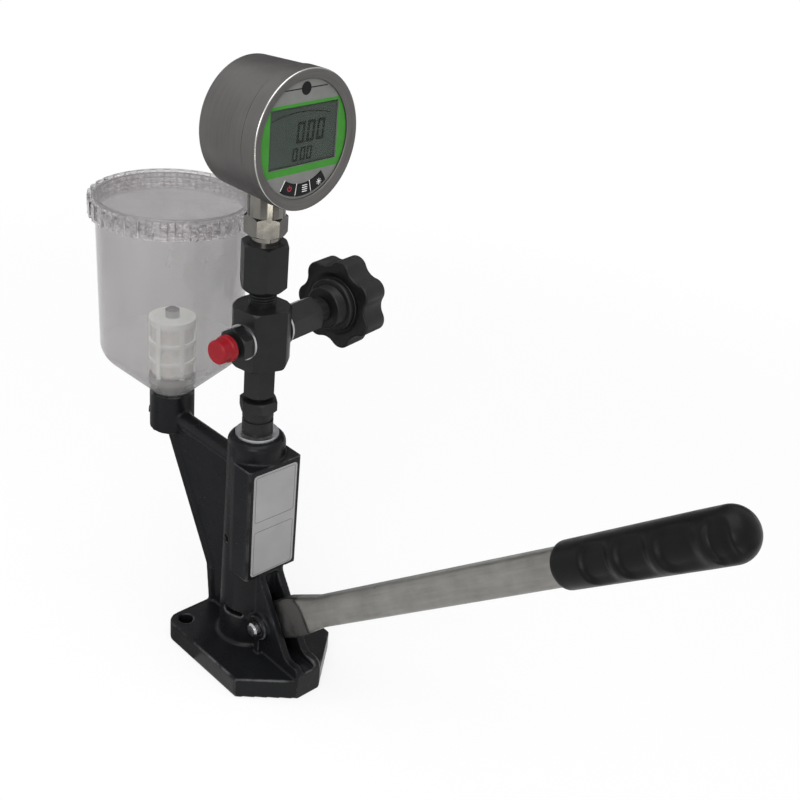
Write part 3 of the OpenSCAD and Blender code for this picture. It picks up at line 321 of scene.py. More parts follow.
def make_floor():
    """A pale floor that takes the object's shadow near by and fades into the white background far off."""
    half = FLOOR_HALF
    floor = flat_sheet("floor", [(-half, -half, 0), (half, -half, 0), (half, half, 0), (-half, half, 0)])
    floor.location.z = -FLOOR_DROP
    mat = bpy.data.materials.new("floor_white")
    mat.use_nodes = True
    tree = mat.node_tree
    tree.nodes.clear()
    matt = tinted_shader(tree, "ShaderNodeBsdfDiffuse", (0.9, 0.9, 0.9))
    white = tinted_shader(tree, "ShaderNodeEmission", WHITE, 1.0)
    share = ranged(tree, distance_from(tree, (0, 0, 0)), 0.3, 0.95, 0.8, 1.0)
    whiteness = combined(tree, "MULTIPLY", seen_directly(tree), share)
    end_in_mix(tree, whiteness, matt, white, "ShaderNodeOutputMaterial")
    floor.data.materials.append(mat)


def area_light(name, place, target, size, power, colour=WHITE, mirrored=True):
    """A soft box; sizes and places in metres, power in watts."""
    data = bpy.data.lights.new(name, "AREA")
    data.shape = "RECTANGLE"
    data.size, data.size_y = size
    data.energy = power
    data.color = colour
    lamp = bpy.data.objects.new(name, data)
    scene.collection.objects.link(lamp)
    lamp.location = place
    aim = Vector(target) - Vector(place)
    lamp.rotation_mode = "QUATERNION"
    lamp.rotation_quaternion = aim.to_track_quat("-Z", "Y")
    lamp.visible_glossy = mirrored


def reflected_card(name, corners, tone, glow=0.0):
    """A board beside the set, which shows only as a darker or brighter band in shiny surfaces."""
    card = flat_sheet(name, corners)
    mat, tree, shader = new_material(name)
    shader.inputs["Base Color"].default_value = (tone, tone, tone, 1)
    shader.inputs["Roughness"].default_value = 0.9
    shader.inputs["Emission Color"].default_value = CARD_WARMTH
    shader.inputs["Emission Strength"].default_value = glow
    card.data.materials.append(mat)
    card.visible_camera = False
    card.visible_diffuse = False
    card.visible_shadow = False
    card.visible_transmission = False


def floor_sector(near, far, start, end, steps=12):
    """Corners of a piece of a ring that lies on the floor round the column; angles in degrees."""
    turns = [math.radians(start + (end - start) * i / steps) for i in range(steps + 1)]
    inner = [(near * math.cos(a), near * math.sin(a), CARD_LIFT) for a in turns]
    outer = [(far * math.cos(a), far * math.sin(a), CARD_LIFT) for a in turns]
    return inner + outer[::-1]


def upright_board(start, end, low, high):
    """Corners of a board that stands on a line between two places of the floor plan."""
    return [(*start, low), (*end, low), (*end, high), (*start, high)]


scene.view_settings.view_transform = "Standard"
make_camera()
make_world()
make_floor()
area_light("top_box", place=(0.25, -0.15, 1.25), target=(0.05, 0, 0.15), size=(1.0, 1.0), power=9)
area_light("key_box", place=(1.0, -1.2, 0.9), target=(0.05, 0, 0.2), size=(0.8, 0.8), power=10,
           colour=(1.0, 0.985, 0.96))
area_light("side_box", place=(-0.9, -0.9, 0.7), target=(0, 0, 0.2), size=(0.5, 0.9), power=4,
           colour=(0.97, 0.985, 1.0), mirrored=False)
reflected_card("card_back", upright_board((-2.2, 0.0), (0.2, 2.2), 0.15, 1.0), tone=0.08)
reflected_card("card_gauge", upright_board((-0.56, 0.16), (-0.14, 0.56), 0.65, 1.0), tone=0.05)
for card_name, ring, tone, glow in (
    ("card_near", (0.03, 0.42, 70, 235), 0.25, 0),
    ("card_front", (0.03, 0.11, 235, 258), 0.35, 0),
    ("card_left", (0.7, 0.94, -165, -120), 0.6, 0),
    ("card_right", (0.7, 0.94, 75, 118), 0.45, 0),
    ("card_camera", (0.945, 1.35, -76, -37), 0.05, 0),
    ("card_side", (0.945, 1.35, 0, 42), 0.05, 0),
    ("card_glow", (0.945, 1.35, -33, -2), 0.5, 6.0),
):
    reflected_card(card_name, floor_sector(*ring), tone, glow)


# Materials

# Brushed streaks: how strongly their colour shows, and how much lighter than the light tone it is
STREAK_SHARE = 0.35
STREAK_GAIN = 1.5
# Specks are shallow pits, in metres
SPECK_DEPTH = 0.00008
# Share of the shade tone where painted shade is full
PAINTED_SHADE_STRENGTH = 0.85


def surface(name, dark, light, rough, metallic=0.0, mottle=60.0, grain=900.0, grain_depth=0.00004,
            wave=None, wave_depth=0.0001, specks=None, streak=None, streak_turn=None,
            streak_depth=0.00002, stain=None, wear=None, **sockets):
    """A finish with two tones, uneven gloss and a fine grain.

    Where asked it also gets ripple, specks, brushed streaks, painted shade round a place, or edges painted
    lighter, partly as real paint wear and partly as a painted edge highlight.
    """
    mat, tree, shader = new_material(name)
    plain = object_coords(tree)
    colour = mixed(tree, ranged(tree, noise(tree, plain, mottle, 5), 0.3, 0.7, 0, 1), dark, light)
    gloss = ranged(tree, noise(tree, plain, mottle * 2.3, 4), 0.3, 0.7, *rough)
    normal = bumped(tree, noise(tree, plain, grain, 2), grain_depth)
    if wave is not None:
        normal = bumped(tree, noise(tree, plain, wave, 2), wave_depth, 1.0, normal)
    if streak is not None:
        lines = noise(tree, object_coords(tree, streak, streak_turn), 1.0, 3, 0.65)
        normal = bumped(tree, lines, streak_depth, 1.0, normal)
        bright = tuple(c * STREAK_GAIN for c in light)
        colour = mixed(tree, ranged(tree, lines, 0.35, 0.75, 0, STREAK_SHARE), colour, bright)
    if specks is not None:
        tone, scale, amount = specks
        spots = ranged(tree, noise(tree, plain, scale, 6, 0.7), amount, amount + 0.05, 0, 1)
        colour = mixed(tree, spots, colour, tone)
        normal = bumped(tree, spots, -SPECK_DEPTH, 0.6, normal)
    # painted shade: the colour darkened round a place, where shade falls on the real object
    if stain is not None:
        place, near, far, tone = stain
        shade_amount = ranged(tree, distance_from(tree, place), near, far, PAINTED_SHADE_STRENGTH, 0)
        colour = mixed(tree, shade_amount, colour, tone)
    # sharp edges painted lighter, partly real paint wear and partly a painted edge highlight
    if wear is not None:
        tone, low, high = wear
        pointiness = tree.nodes.new("ShaderNodeNewGeometry").outputs["Pointiness"]
        edge = ranged(tree, pointiness, low, high, 0, 1)
        rubbed = ranged(tree, noise(tree, plain, 55, 4), 0.46, 0.6, 0, 1)
        colour = mixed(tree, combined(tree, "MULTIPLY", edge, rubbed), colour, tone)
    link(tree, colour, shader.inputs["Base Color"])
    link(tree, gloss, shader.inputs["Roughness"])
    link(tree, normal, shader.inputs["Normal"])
    shader.inputs["Metallic"].default_value = metallic
    for key, value in sockets.items():
        shader.inputs[key.replace("_", " ")].default_value = value
    return mat


def cup_coords(tree):
    """Sockets with x, y and z of a surface point from the foot of the cup's axis, in metres."""
    centred = tree.nodes.new("ShaderNodeVectorMath")
    centred.operation = "SUBTRACT"
    centred.inputs[1].default_value = (CUP_X * MM, 0, 0)
    link(tree, object_coords(tree), centred.inputs[0])
    return separated(tree, centred.outputs[0])


def zone_mask(tree, low_r, low_z, top_z):
    """1 outside a radius about the cup's axis or above a height, and below a top; 0 elsewhere."""
    x, y, z = cup_coords(tree)
    squares = combined(tree, "ADD", combined(tree, "POWER", x, 2.0), combined(tree, "POWER", y, 2.0))
    wide = ranged(tree, combined(tree, "SQRT", squares), low_r - 0.0004, low_r + 0.0004, 0, 1)
    high = ranged(tree, z, low_z - 0.001, low_z + 0.001, 0, 1)
    below = ranged(tree, z, top_z - 0.0004, top_z + 0.0004, 1, 0)
    return combined(tree, "MULTIPLY", combined(tree, "MAXIMUM", wide, high), below)


def outer_faces(tree):
    """1 on faces that look away from the cup's axis and 0 on the others, from either side."""
    x, y, z = cup_coords(tree)
    geometry = tree.nodes.new("ShaderNodeNewGeometry").outputs
    normal = separated(tree, geometry["True Normal"])
    along_x = combined(tree, "MULTIPLY", x, normal[0])
    along_y = combined(tree, "MULTIPLY", y, normal[1])
    # the normal is turned round on faces that are seen from behind
    turned = combined(tree, "SUBTRACT", 1.0, combined(tree, "MULTIPLY", geometry["Backfacing"], 2.0))
    away = combined(tree, "MULTIPLY", combined(tree, "ADD", along_x, along_y), turned)
    return combined(tree, "GREATER_THAN", away, 0.0)


def off_middle(tree, value):
    """How far a running count is from the middle of its present step, from 0 to 0.5."""
    return combined(tree, "ABSOLUTE", combined(tree, "SUBTRACT", combined(tree, "FRACT", value), 0.5))


def rib_edge_shade_lines(tree):
    """Painted dark lines, standing for how edges darken seen through the clear plastic: 1 along the edges
    of the lid's ribs and along the turns of the thread behind them, 0 between.
    """
    rib_half, edge_half, thread_half = 0.243, 0.075, 0.2
    x, y, z = cup_coords(tree)
    turn = combined(tree, "MULTIPLY", combined(tree, "ARCTAN2", y, x), LID_RIBS / (2 * math.pi))
    from_rib = off_middle(tree, combined(tree, "ADD", turn, LID_RIBS + 0.5))
    from_edge = combined(tree, "ABSOLUTE", combined(tree, "SUBTRACT", from_rib, rib_half))
    edges = ranged(tree, from_edge, 0.0, edge_half, 1, 0)
    from_thread = off_middle(tree, combined(tree, "DIVIDE", z, LID_PITCH))
    threads = ranged(tree, from_thread, 0.0, thread_half, 1, 0)
    broken = ranged(tree, noise(tree, object_coords(tree), 210, 3), 0.42, 0.6, 0.15, 1)
    return combined(tree, "MULTIPLY", combined(tree, "MAXIMUM", edges, threads), broken)


def cup_plastic(name, low_r, low_z, top_z, haze_range, inner_haze=None):
    """Grey see-through wall, hazier in the cone, that turns into clear moulded plastic in a zone, where its
    colour has painted dark lines along the ribs and thread and painted white glints.

    Where an inner haze is given, the outer faces have the range of haze and the others that much.
    """
    mat, tree, shader = new_material(name)
    zone = zone_mask(tree, low_r, low_z, top_z)
    x, y, z = cup_coords(tree)
    cone = ranged(tree, z, CONE_TOP - 0.009, CONE_TOP + 0.002, 1, 0)
    bands = ranged(tree, stretched_noise(tree, (30, 30, 4), 4, 0.6), 0.35, 0.65, 0, 1)
    wall = mixed(tree, bands, (0.207, 0.191, 0.197), (0.272, 0.259, 0.259))
    wall = mixed(tree, cone, wall, (0.36, 0.352, 0.348))
    # painted dark lines along the rib edges and thread turns of the clear zone
    clear = mixed(tree, rib_edge_shade_lines(tree), (0.82, 0.805, 0.81), (0.21, 0.2, 0.205))
    # painted glints: white specks in the colour of the clear zone
    painted_glints = ranged(tree, stretched_noise(tree, (330, 330, 420)), 0.6, 0.68, 0, 1)
    clear = mixed(tree, painted_glints, clear, WHITE)
    link(tree, mixed(tree, zone, wall, clear), shader.inputs["Base Color"])
    haze = ranged(tree, stretched_noise(tree, (40, 40, 9), 5, 0.6), 0.35, 0.7, *haze_range)
    haze = combined(tree, "ADD", haze, combined(tree, "MULTIPLY", cone, 0.1))
    if inner_haze is not None:
        haze = combined(tree, "MAXIMUM", combined(tree, "MULTIPLY", haze, outer_faces(tree)), inner_haze)
    link(tree, combined(tree, "MAXIMUM", haze, zone), shader.inputs["Alpha"])
    link(tree, zone, shader.inputs["Transmission Weight"])
    scuff = stretched_noise(tree, (60, 60, 14), 6, 0.7)
    link(tree, ranged(tree, scuff, 0.45, 0.75, 0.06, 0.16), shader.inputs["Roughness"])
    normal = bumped(tree, stretched_noise(tree, (70, 70, 20)), 0.00004)
    facets = combined(tree, "MULTIPLY", zone, stretched_noise(tree, (260, 260, 480)))
    link(tree, bumped(tree, facets, 0.0011, 1.0, normal), shader.inputs["Normal"])
    shader.inputs["IOR"].default_value = 1.46
    return mat


def window_plastic(name):
    """Clear smoked plastic, nearly all see-through."""
    mat, tree, shader = new_material(name)
    plain = object_coords(tree)
    clouds = ranged(tree, noise(tree, plain, 80, 4), 0.3, 0.7, 0, 1)
    colour = mixed(tree, clouds, (0.05, 0.058, 0.052), (0.065, 0.074, 0.067))
    link(tree, colour, shader.inputs["Base Color"])
    link(tree, ranged(tree, noise(tree, plain, 160, 4), 0.4, 0.7, 0.1, 0.2), shader.inputs["Roughness"])
    link(tree, ranged(tree, noise(tree, plain, 240, 3), 0.4, 0.7, 0.09, 0.11), shader.inputs["Alpha"])
    return mat


# Painted shade: a place in metres, how far the shade is full, where it ends, and its tone
# painted shade at the foot of the filter, where the cup's floor and the black boss below darken it
FILTER_FOOT_SHADE = ((CUP_X * MM, 0, 0.16), 0.0214, 0.023, (0.16, 0.158, 0.155))
# painted shade on the lever's root between the cheeks, where the fork shades it
LEVER_ROOT_SHADE = (tuple(c * MM for c in PIVOT), 0.0452, 0.0485, (0.085, 0.082, 0.082))

# Specks are a tone, a scale and the noise above which they show; wear and edge highlight is a tone and a
# range of edge, painted lighter as paint wear and as a painted highlight
FINISHES = {
    "cast_paint": dict(
        dark=(0.0052, 0.0055, 0.0064), light=(0.0082, 0.0086, 0.0097), rough=(0.24, 0.36),
        mottle=40, grain=1400, grain_depth=0.00003, wave=190, wave_depth=0.00012,
        specks=((0.13, 0.13, 0.133), 230, 0.715), wear=((0.07, 0.07, 0.073), 0.516, 0.54),
        Specular_IOR_Level=0.13),
    "black_steel": dict(
        dark=(0.0062, 0.0064, 0.007), light=(0.0102, 0.0104, 0.0112), rough=(0.28, 0.4),
        mottle=90, grain=1600, grain_depth=0.00003, streak=(60, 60, 2600), streak_depth=0.000012,
        specks=((0.05, 0.05, 0.05), 420, 0.78), Specular_IOR_Level=0.22),
    "ground_steel": dict(
        dark=(0.3, 0.3, 0.31), light=(0.4, 0.4, 0.41), rough=(0.14, 0.24), metallic=1.0,
        mottle=80, grain=2200, grain_depth=0.00001, streak=(300, 300, 900), streak_depth=0.000004),
    "spring_steel": dict(
        dark=(0.16, 0.16, 0.17), light=(0.26, 0.26, 0.27), rough=(0.25, 0.4), metallic=1.0),
    "small_screws": dict(
        dark=(0.018, 0.018, 0.02), light=(0.03, 0.03, 0.033), rough=(0.35, 0.5), metallic=0.3, mottle=200),
    "washer_metal": dict(
        dark=(0.38, 0.385, 0.4), light=(0.52, 0.525, 0.54), rough=(0.28, 0.45), metallic=1.0,
        mottle=150, grain=2500, grain_depth=0.00003),
    "bronze": dict(
        dark=(0.42, 0.27, 0.1), light=(0.58, 0.4, 0.17), rough=(0.25, 0.4), metallic=1.0),
    "lever_zinc": dict(
        dark=(0.18, 0.176, 0.164), light=(0.245, 0.241, 0.226), rough=(0.36, 0.5), metallic=1.0,
        mottle=55, grain=1500, grain_depth=0.00005, wave=140, wave_depth=0.0002,
        specks=((0.05, 0.048, 0.044), 150, 0.675), streak=(20, 260, 260),
        streak_turn=(0, LEVER_ANGLE, 0), streak_depth=0.00002, stain=LEVER_ROOT_SHADE),
    "grip_rubber": dict(
        dark=(0.0034, 0.0035, 0.0039), light=(0.0055, 0.0056, 0.0061), rough=(0.3, 0.42),
        mottle=70, grain=2200, grain_depth=0.00003, wave=120, wave_depth=0.0001, Specular_IOR_Level=0.1),
    "seal_rubber": dict(
        dark=(0.012, 0.012, 0.012), light=(0.02, 0.02, 0.02), rough=(0.6, 0.75), mottle=150),
    "knob_plastic": dict(
        dark=(0.0055, 0.0055, 0.006), light=(0.0085, 0.0085, 0.0092), rough=(0.34, 0.46),
        mottle=60, grain=2600, grain_depth=0.000035, wave=220, wave_depth=0.00005, Specular_IOR_Level=0.24),
    "cap_plastic": dict(
        dark=(0.215, 0.0062, 0.0118), light=(0.268, 0.0085, 0.015), rough=(0.3, 0.42),
        mottle=140, grain=1800, grain_depth=0.00002, wave=260, wave_depth=0.00006, Specular_IOR_Level=0.14),
    "filter_plastic": dict(
        dark=(0.84, 0.83, 0.8), light=(0.92, 0.91, 0.88), rough=(0.4, 0.55), mottle=90,
        stain=FILTER_FOOT_SHADE, Subsurface_Weight=0.25, Subsurface_Scale=0.004),
    "filter_gauze": dict(
        dark=(0.72, 0.71, 0.68), light=(0.82, 0.81, 0.78), rough=(0.7, 0.85), mottle=300,
        grain=3200, grain_depth=0.0001, stain=FILTER_FOOT_SHADE),
    "packing_white": dict(
        dark=(0.74, 0.73, 0.7), light=(0.82, 0.81, 0.78), rough=(0.5, 0.65)),
    "nickel": dict(
        dark=(0.155, 0.148, 0.136), light=(0.21, 0.201, 0.184), rough=(0.08, 0.13), metallic=1.0,
        mottle=120, grain=1500, grain_depth=0.000006),
    "stainless": dict(
        dark=(0.105, 0.101, 0.099), light=(0.13, 0.126, 0.123), rough=(0.42, 0.52), metallic=1.0,
        mottle=30, grain=1800, grain_depth=0.00002, streak=(2600, 40, 40),
        streak_turn=(0, 0, -GAUGE_YAW), streak_depth=0.000012),
    "face_film": dict(
        dark=(0.165, 0.168, 0.16), light=(0.195, 0.199, 0.19), rough=(0.4, 0.5), mottle=100,
        grain=2600, grain_depth=0.00001, Specular_IOR_Level=0.2),
    "display": dict(
        dark=(0.041, 0.056, 0.045), light=(0.049, 0.066, 0.054), rough=(0.3, 0.4), mottle=60,
        grain=2600, grain_depth=0.000004, Specular_IOR_Level=0.15),
    "board": dict(
        dark=(0.02, 0.11, 0.035), light=(0.03, 0.15, 0.05), rough=(0.4, 0.5), mottle=300),
    "battery": dict(
        dark=(0.04, 0.07, 0.2), light=(0.05, 0.09, 0.25), rough=(0.25, 0.35), mottle=120),
    "key_black": dict(
        dark=(0.006, 0.006, 0.0065), light=(0.009, 0.009, 0.0095), rough=(0.3, 0.42), mottle=250,
        Specular_IOR_Level=0.12),
    "label_white": dict(
        dark=(0.3, 0.294, 0.298), light=(0.342, 0.335, 0.339), rough=(0.38, 0.5), mottle=45,
        grain=2200, grain_depth=0.00001, Specular_IOR_Level=0.2),
    "green_print": dict(
        dark=(0.037, 0.205, 0.021), light=(0.046, 0.24, 0.028), rough=(0.36, 0.46), mottle=120,
        grain=2600, grain_depth=0.00001, Specular_IOR_Level=0.2),
    "black_print": dict(
        dark=(0.006, 0.006, 0.006), light=(0.01, 0.01, 0.01), rough=(0.4, 0.5), mottle=300,
        Specular_IOR_Level=0.1),
    "grey_print": dict(
        dark=(0.07, 0.07, 0.075), light=(0.1, 0.1, 0.105), rough=(0.4, 0.5), mottle=300),
    "white_print": dict(
        dark=(0.68, 0.68, 0.68), light=(0.78, 0.78, 0.78), rough=(0.4, 0.5), mottle=300),
    "red_print": dict(
        dark=(0.42, 0.02, 0.05), light=(0.52, 0.03, 0.07), rough=(0.4, 0.5), mottle=300),
    "lcd_ink": dict(
        dark=(0.011, 0.014, 0.012), light=(0.015, 0.019, 0.016), rough=(0.35, 0.45), mottle=300,
        grain=2600, grain_depth=0.000004, Specular_IOR_Level=0.05),
    # polished metal made much lighter than the bezel's stainless, which paints the highlight on the bezel's
    # front edge
    "polished_edge_highlight": dict(
        dark=(0.36, 0.352, 0.345), light=(0.46, 0.452, 0.44), rough=(0.18, 0.28), metallic=1.0,
        mottle=160, grain=2200, grain_depth=0.00001),
}

materials = {name: surface(name, **finish) for name, finish in FINISHES.items()}
materials["clear_plastic"] = cup_plastic(
    "clear_plastic", low_r=OUT_OF_REACH, low_z=NECK_LOW, top_z=OUT_OF_REACH,
    haze_range=(0.54, 0.61), inner_haze=0.03)
materials["clear_lid"] = cup_plastic(
    "clear_lid", low_r=LID_SKIRT_R, low_z=OUT_OF_REACH, top_z=LID_RIM, haze_range=(0.33, 0.39))
materials["window"] = window_plastic("window_clear")


def paint(obj, mat):
    obj.data.materials.clear()
    obj.data.materials.append(mat)


slot_of = {row["node"]: row["material_slot"] for row in frame["record"]["subparts"]}
for name, obj in nodes.items():
    paint(obj, materials["clear_lid" if name == "cup_lid" else slot_of[name]])
    # clear plastic lets the light in to what it holds
    obj.visible_shadow = slot_of[name] not in ("clear_plastic", "window")


# Building pieces

SHARP_ANGLE = math.radians(38)


def attach(name, mesh, body, mat, replaced=()):
    """An object with a mesh, painted, which rides on a CAD body and may stand for CAD nodes."""
    obj = bpy.data.objects.new(name, mesh)
    scene.collection.objects.link(obj)
    paint(obj, materials[mat])
    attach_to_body(obj, body)
    if replaced:
        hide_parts(*replaced)
    return obj


def add_piece(name, skin, body, mat, smooth=True, place=upright_frame, replaced=()):
    """A piece from points and faces, with the points in millimetres in the given local frame."""
    verts, faces = skin
    mesh = bpy.data.meshes.new(name)
    mesh.from_pydata([(place @ Vector(v)) * MM for v in verts], [], faces)
    bm = bmesh.new()
    bm.from_mesh(mesh)
    bmesh.ops.recalc_face_normals(bm, faces=bm.faces)
    bm.to_mesh(mesh)
    bm.free()
    if smooth:
        mesh.shade_smooth()
        mesh.set_sharp_from_angle(angle=SHARP_ANGLE)
    return attach(name, mesh, body, mat, replaced)


def lathe(profile, steps):
    """Points and faces of a closed profile of (radius, height) turned about local Z."""
    verts, faces = [], []
    n = len(profile)
    for i in range(steps):
        a = 2 * math.pi * i / steps
        for r, z in profile:
            verts.append((r * math.cos(a), r * math.sin(a), z))
    for i in range(steps):
        j = (i + 1) % steps
        for k in range(n):
            m = (k + 1) % n
            faces.append((i * n + k, j * n + k, j * n + m, i * n + m))
    return verts, faces


def ring_skin(verts, around):
    """Points in equal rings, with the faces of a skin over them and a cap at each end."""
    rows = len(verts) // around
    faces = []
    for i in range(rows - 1):
        for k in range(around):
            m = (k + 1) % around
            faces.append((i * around + k, i * around + m, (i + 1) * around + m, (i + 1) * around + k))
    faces.append(tuple(range(around)))
    faces.append(tuple(range((rows - 1) * around, rows * around)))
    return verts, faces


def plate(outline, low, high):
    """A flat closed outline of (x, y) points made into a thin plate."""
    n = len(outline)
    verts = [(x, y, low) for x, y in outline] + [(x, y, high) for x, y in outline]
    faces = [tuple(range(n - 1, -1, -1)), tuple(range(n, 2 * n))]
    for i in range(n):
        j = (i + 1) % n
        faces.append((i, j, n + j, n + i))
    return verts, faces


def band(inner, outer, low, high):
    """A plate between two closed outlines with the same number of points."""
    n = len(inner)
    verts = [(x, y, z) for z in (low, high) for ring in (inner, outer) for x, y in ring]
    faces = []
    for i in range(n):
        j = (i + 1) % n
        faces.append((i, j, n + j, n + i))
        faces.append((2 * n + i, 3 * n + i, 3 * n + j, 2 * n + j))
        faces.append((i, 2 * n + i, 2 * n + j, j))
        faces.append((n + i, n + j, 3 * n + j, 3 * n + i))
    return verts, faces


def joined(parts):
    """Points and faces of several parts as one."""
    verts, faces = [], []
    for v, f in parts:
        start = len(verts)
        verts += v
        faces += [tuple(start + i for i in face) for face in f]
    return verts, faces


def arc(r, start, end, steps, cx=0.0, cy=0.0):
    """Points along an arc about a centre; angles in degrees."""
    turns = [math.radians(start + (end - start) * i / steps) for i in range(steps + 1)]
    return [(cx + r * math.cos(a), cy + r * math.sin(a)) for a in turns]


def arc_strip(r0, r1, start, end, low, high, steps=24, cx=0.0, cy=0.0):
    """A plate between two arcs about one centre."""
    outer = arc(r1, start, end, steps, cx, cy)
    inner = arc(r0, start, end, steps, cx, cy)
    return plate(outer + inner[::-1], low, high)


def rectangle(x0, y0, x1, y1):
    return [(x0, y0), (x1, y0), (x1, y1), (x0, y1)]


def spoke(angle, near, far, half, low, high, cx=0.0, cy=0.0):
    """A thin bar that points away from a centre."""
    along = Vector((math.cos(angle), math.sin(angle)))
    across = Vector((-math.sin(angle), math.cos(angle))) * half
    corners = (along * near - across, along * far - across, along * far + across, along * near + across)
    return plate([(cx + c.x, cy + c.y) for c in corners], low, high)


def rounded_outline(x, y, w, h, r, steps=8):
    points = []
    for cx, cy, start in ((w / 2 - r, h / 2 - r, 0), (r - w / 2, h / 2 - r, 90),
                          (r - w / 2, r - h / 2, 180), (w / 2 - r, r - h / 2, 270)):
        points += arc(r, start, start + 90, steps, x + cx, y + cy)
    return points


def rounded_frame(x, y, w, h, r, line, low, high):
    """A thin line of constant width round a rectangle with round corners."""
    return band(rounded_outline(x, y, w - 2 * line, h - 2 * line, max(r - line, 0.1)),
                rounded_outline(x, y, w, h, r), low, high)


def helix_ridge(root, crest, pitch, low, high, steps=48):
    """Points and faces of one thread ridge wound round local Z, running out at both ends."""
    foot, foot_half, crest_half = root - 0.15, 0.42 * pitch, 0.08 * pitch
    count = int((high - low) / pitch * steps)
    verts, faces = [], []
    for i in range(count + 1):
        a = 2 * math.pi * i / steps
        z = low + pitch * i / steps
        fade = min(1.0, 3 * i / steps, 3 * (count - i) / steps)
        r = root + (crest - root) * max(fade, 0.02)
        for radius, dz in ((foot, -foot_half), (r, -crest_half), (r, crest_half), (foot, foot_half)):
            verts.append((radius * math.cos(a), radius * math.sin(a), z + dz))
    for i in range(count):
        for k in range(4):
            m = (k + 1) % 4
            faces.append((4 * i + k, 4 * i + m, 4 * i + 4 + m, 4 * i + 4 + k))
    faces.append((3, 2, 1, 0))
    faces.append(tuple(4 * count + k for k in range(4)))
    return verts, faces


def soft_copy(node, body, voxel, rounds, slot):
    """A copy of a CAD node with its edges rounded off as a mould and paint leave them."""
    mesh = nodes[node].data.copy()
    bm = bmesh.new()
    bm.from_mesh(mesh)
    bmesh.ops.remove_doubles(bm, verts=bm.verts, dist=2e-6)
    bm.to_mesh(mesh)
    bm.free()
    work = bpy.data.objects.new(node + "_work", mesh)
    scene.collection.objects.link(work)
    remesh = work.modifiers.new("remesh", "REMESH")
    remesh.mode = "VOXEL"
    remesh.voxel_size = voxel
    smooth = work.modifiers.new("smooth", "SMOOTH")
    smooth.factor = 0.5
    smooth.iterations = rounds
    bpy.context.view_layer.update()
    finished = work.evaluated_get(bpy.context.evaluated_depsgraph_get())
    made = bpy.data.meshes.new_from_object(finished)
    bpy.data.objects.remove(work)
    made.name = node + "_soft"
    made.shade_smooth()
    attach(node + "_soft", made, body, slot, (node,))


def wound_spring(node, joint):
    """A copy of a spring's CAD node, riding on the body of its joint's parent, that stands for the node."""
    mesh = nodes[node].data.copy()
    mesh.name = node + "_wound"
    spring = attach(node + "_wound", mesh, joint["parent"], "spring_steel", (node,))
    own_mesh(spring)


for joint in frame["joints"]:
    for row in joint.get("deforming_nodes", ()):
        wound_spring(row["node"], joint)
soft_copy("pump_body", "stand", voxel=0.0009, rounds=3, slot="cast_paint")
soft_copy("lever_bar", "lever", voxel=0.0006, rounds=14, slot="lever_zinc")
add_piece("adapter_neck_thread", helix_ridge(root=7.7, crest=8.45, pitch=1.75, low=263.2, high=271.4),
          "stand", "black_steel")


# Label: bare sticker with two thin frames

# Middle and height of each frame, from the middle of the label
LABEL_FRAMES = ((20.4, 34.6), (-21.2, 34.0))
LABEL_FRAME_W = 32.0
LABEL_CORNER_R = 1.8
LABEL_LINE = 0.35
LABEL_LOW = 0.3
LABEL_HIGH = 0.34

add_piece("label_frames", joined([
    rounded_frame(0, middle, LABEL_FRAME_W, height, LABEL_CORNER_R, LABEL_LINE, LABEL_LOW, LABEL_HIGH)
    for middle, height in LABEL_FRAMES
]), "stand", "grey_print", smooth=False, place=label_frame)


# Grip with finger hollows

GRIP_FRONT_R = 12.7
GRIP_SWELL = 0.75
GRIP_SWELL_RATE = 1.3
GRIP_EDGE_R = 3.6
GRIP_DOME = 12.5
# Centre of each hollow and half its length along the grip
GRIP_HOLLOWS = ((31.5, 10.8), (55.0, 11.4), (82.0, 13.6), (104.0, 7.0))
HOLLOW_DEPTH = 2.1
HOLLOW_HALF_TURN = math.radians(58)
# Share of a hollow that its slope takes up, and how much more at its end than in its middle
HOLLOW_SLOPE = 0.45
HOLLOW_SKEW = 0.2


def grip_radius(t, phi):
    """Radius at a distance t from the front of the grip, at an angle from local +Y."""
    r = GRIP_FRONT_R + GRIP_SWELL * min(1.0, t / GRIP_LEN * GRIP_SWELL_RATE)
    if t < GRIP_EDGE_R:
        r -= GRIP_EDGE_R - math.sqrt(max(0.0, GRIP_EDGE_R * GRIP_EDGE_R - (GRIP_EDGE_R - t) ** 2))
    end = t - (GRIP_LEN - GRIP_DOME)
    if end > 0:
        r *= math.sqrt(max(0.0, 1 - (end / GRIP_DOME) ** 2))
    side = min(abs(phi), abs(math.pi - abs(phi)))
    for centre, half in GRIP_HOLLOWS:
        along = max(-1.0, min(1.0, (t - centre) / half))
        d = ((abs(t - centre) / half) ** 4 + (side / HOLLOW_HALF_TURN) ** 4) ** 0.25
        if d < 1:
            # steep towards the front of the grip and gentle towards its end
            s = min(1.0, (1 - d) / (HOLLOW_SLOPE + HOLLOW_SKEW * along))
            r -= HOLLOW_DEPTH * s * s * (3 - 2 * s)
    return r


def make_grip():
    rows, around = 150, 72
    crowding = 1.15
    tip_gap, tip_r = 0.02, 0.05
    verts = []
    for i in range(rows):
        t = GRIP_LEN * (1 - (1 - i / (rows - 1)) ** crowding)
        for k in range(around):
            phi = 2 * math.pi * k / around
            a = phi - math.pi if phi > math.pi else phi
            r = max(grip_radius(min(t, GRIP_LEN - tip_gap), a), tip_r)
            verts.append((LEVER_LEN - GRIP_LEN + t, r * math.cos(phi), r * math.sin(phi)))
    grip = add_piece("grip_moulded", ring_skin(verts, around), "lever", "grip_rubber",
                     place=lever_frame, replaced=("lever_grip",))
    grip.data.shade_smooth()


make_grip()


# Star knob with rounded lobes and a dished back

KNOB_LOBES = 7
KNOB_R = 30.6
KNOB_TURN = math.radians(30.6)
# Radius of a lobe and radius at the bottom of a hollow, as shares of the knob's radius
KNOB_LOBE_SHARE = 0.265
KNOB_ROOT_SHARE = 0.84
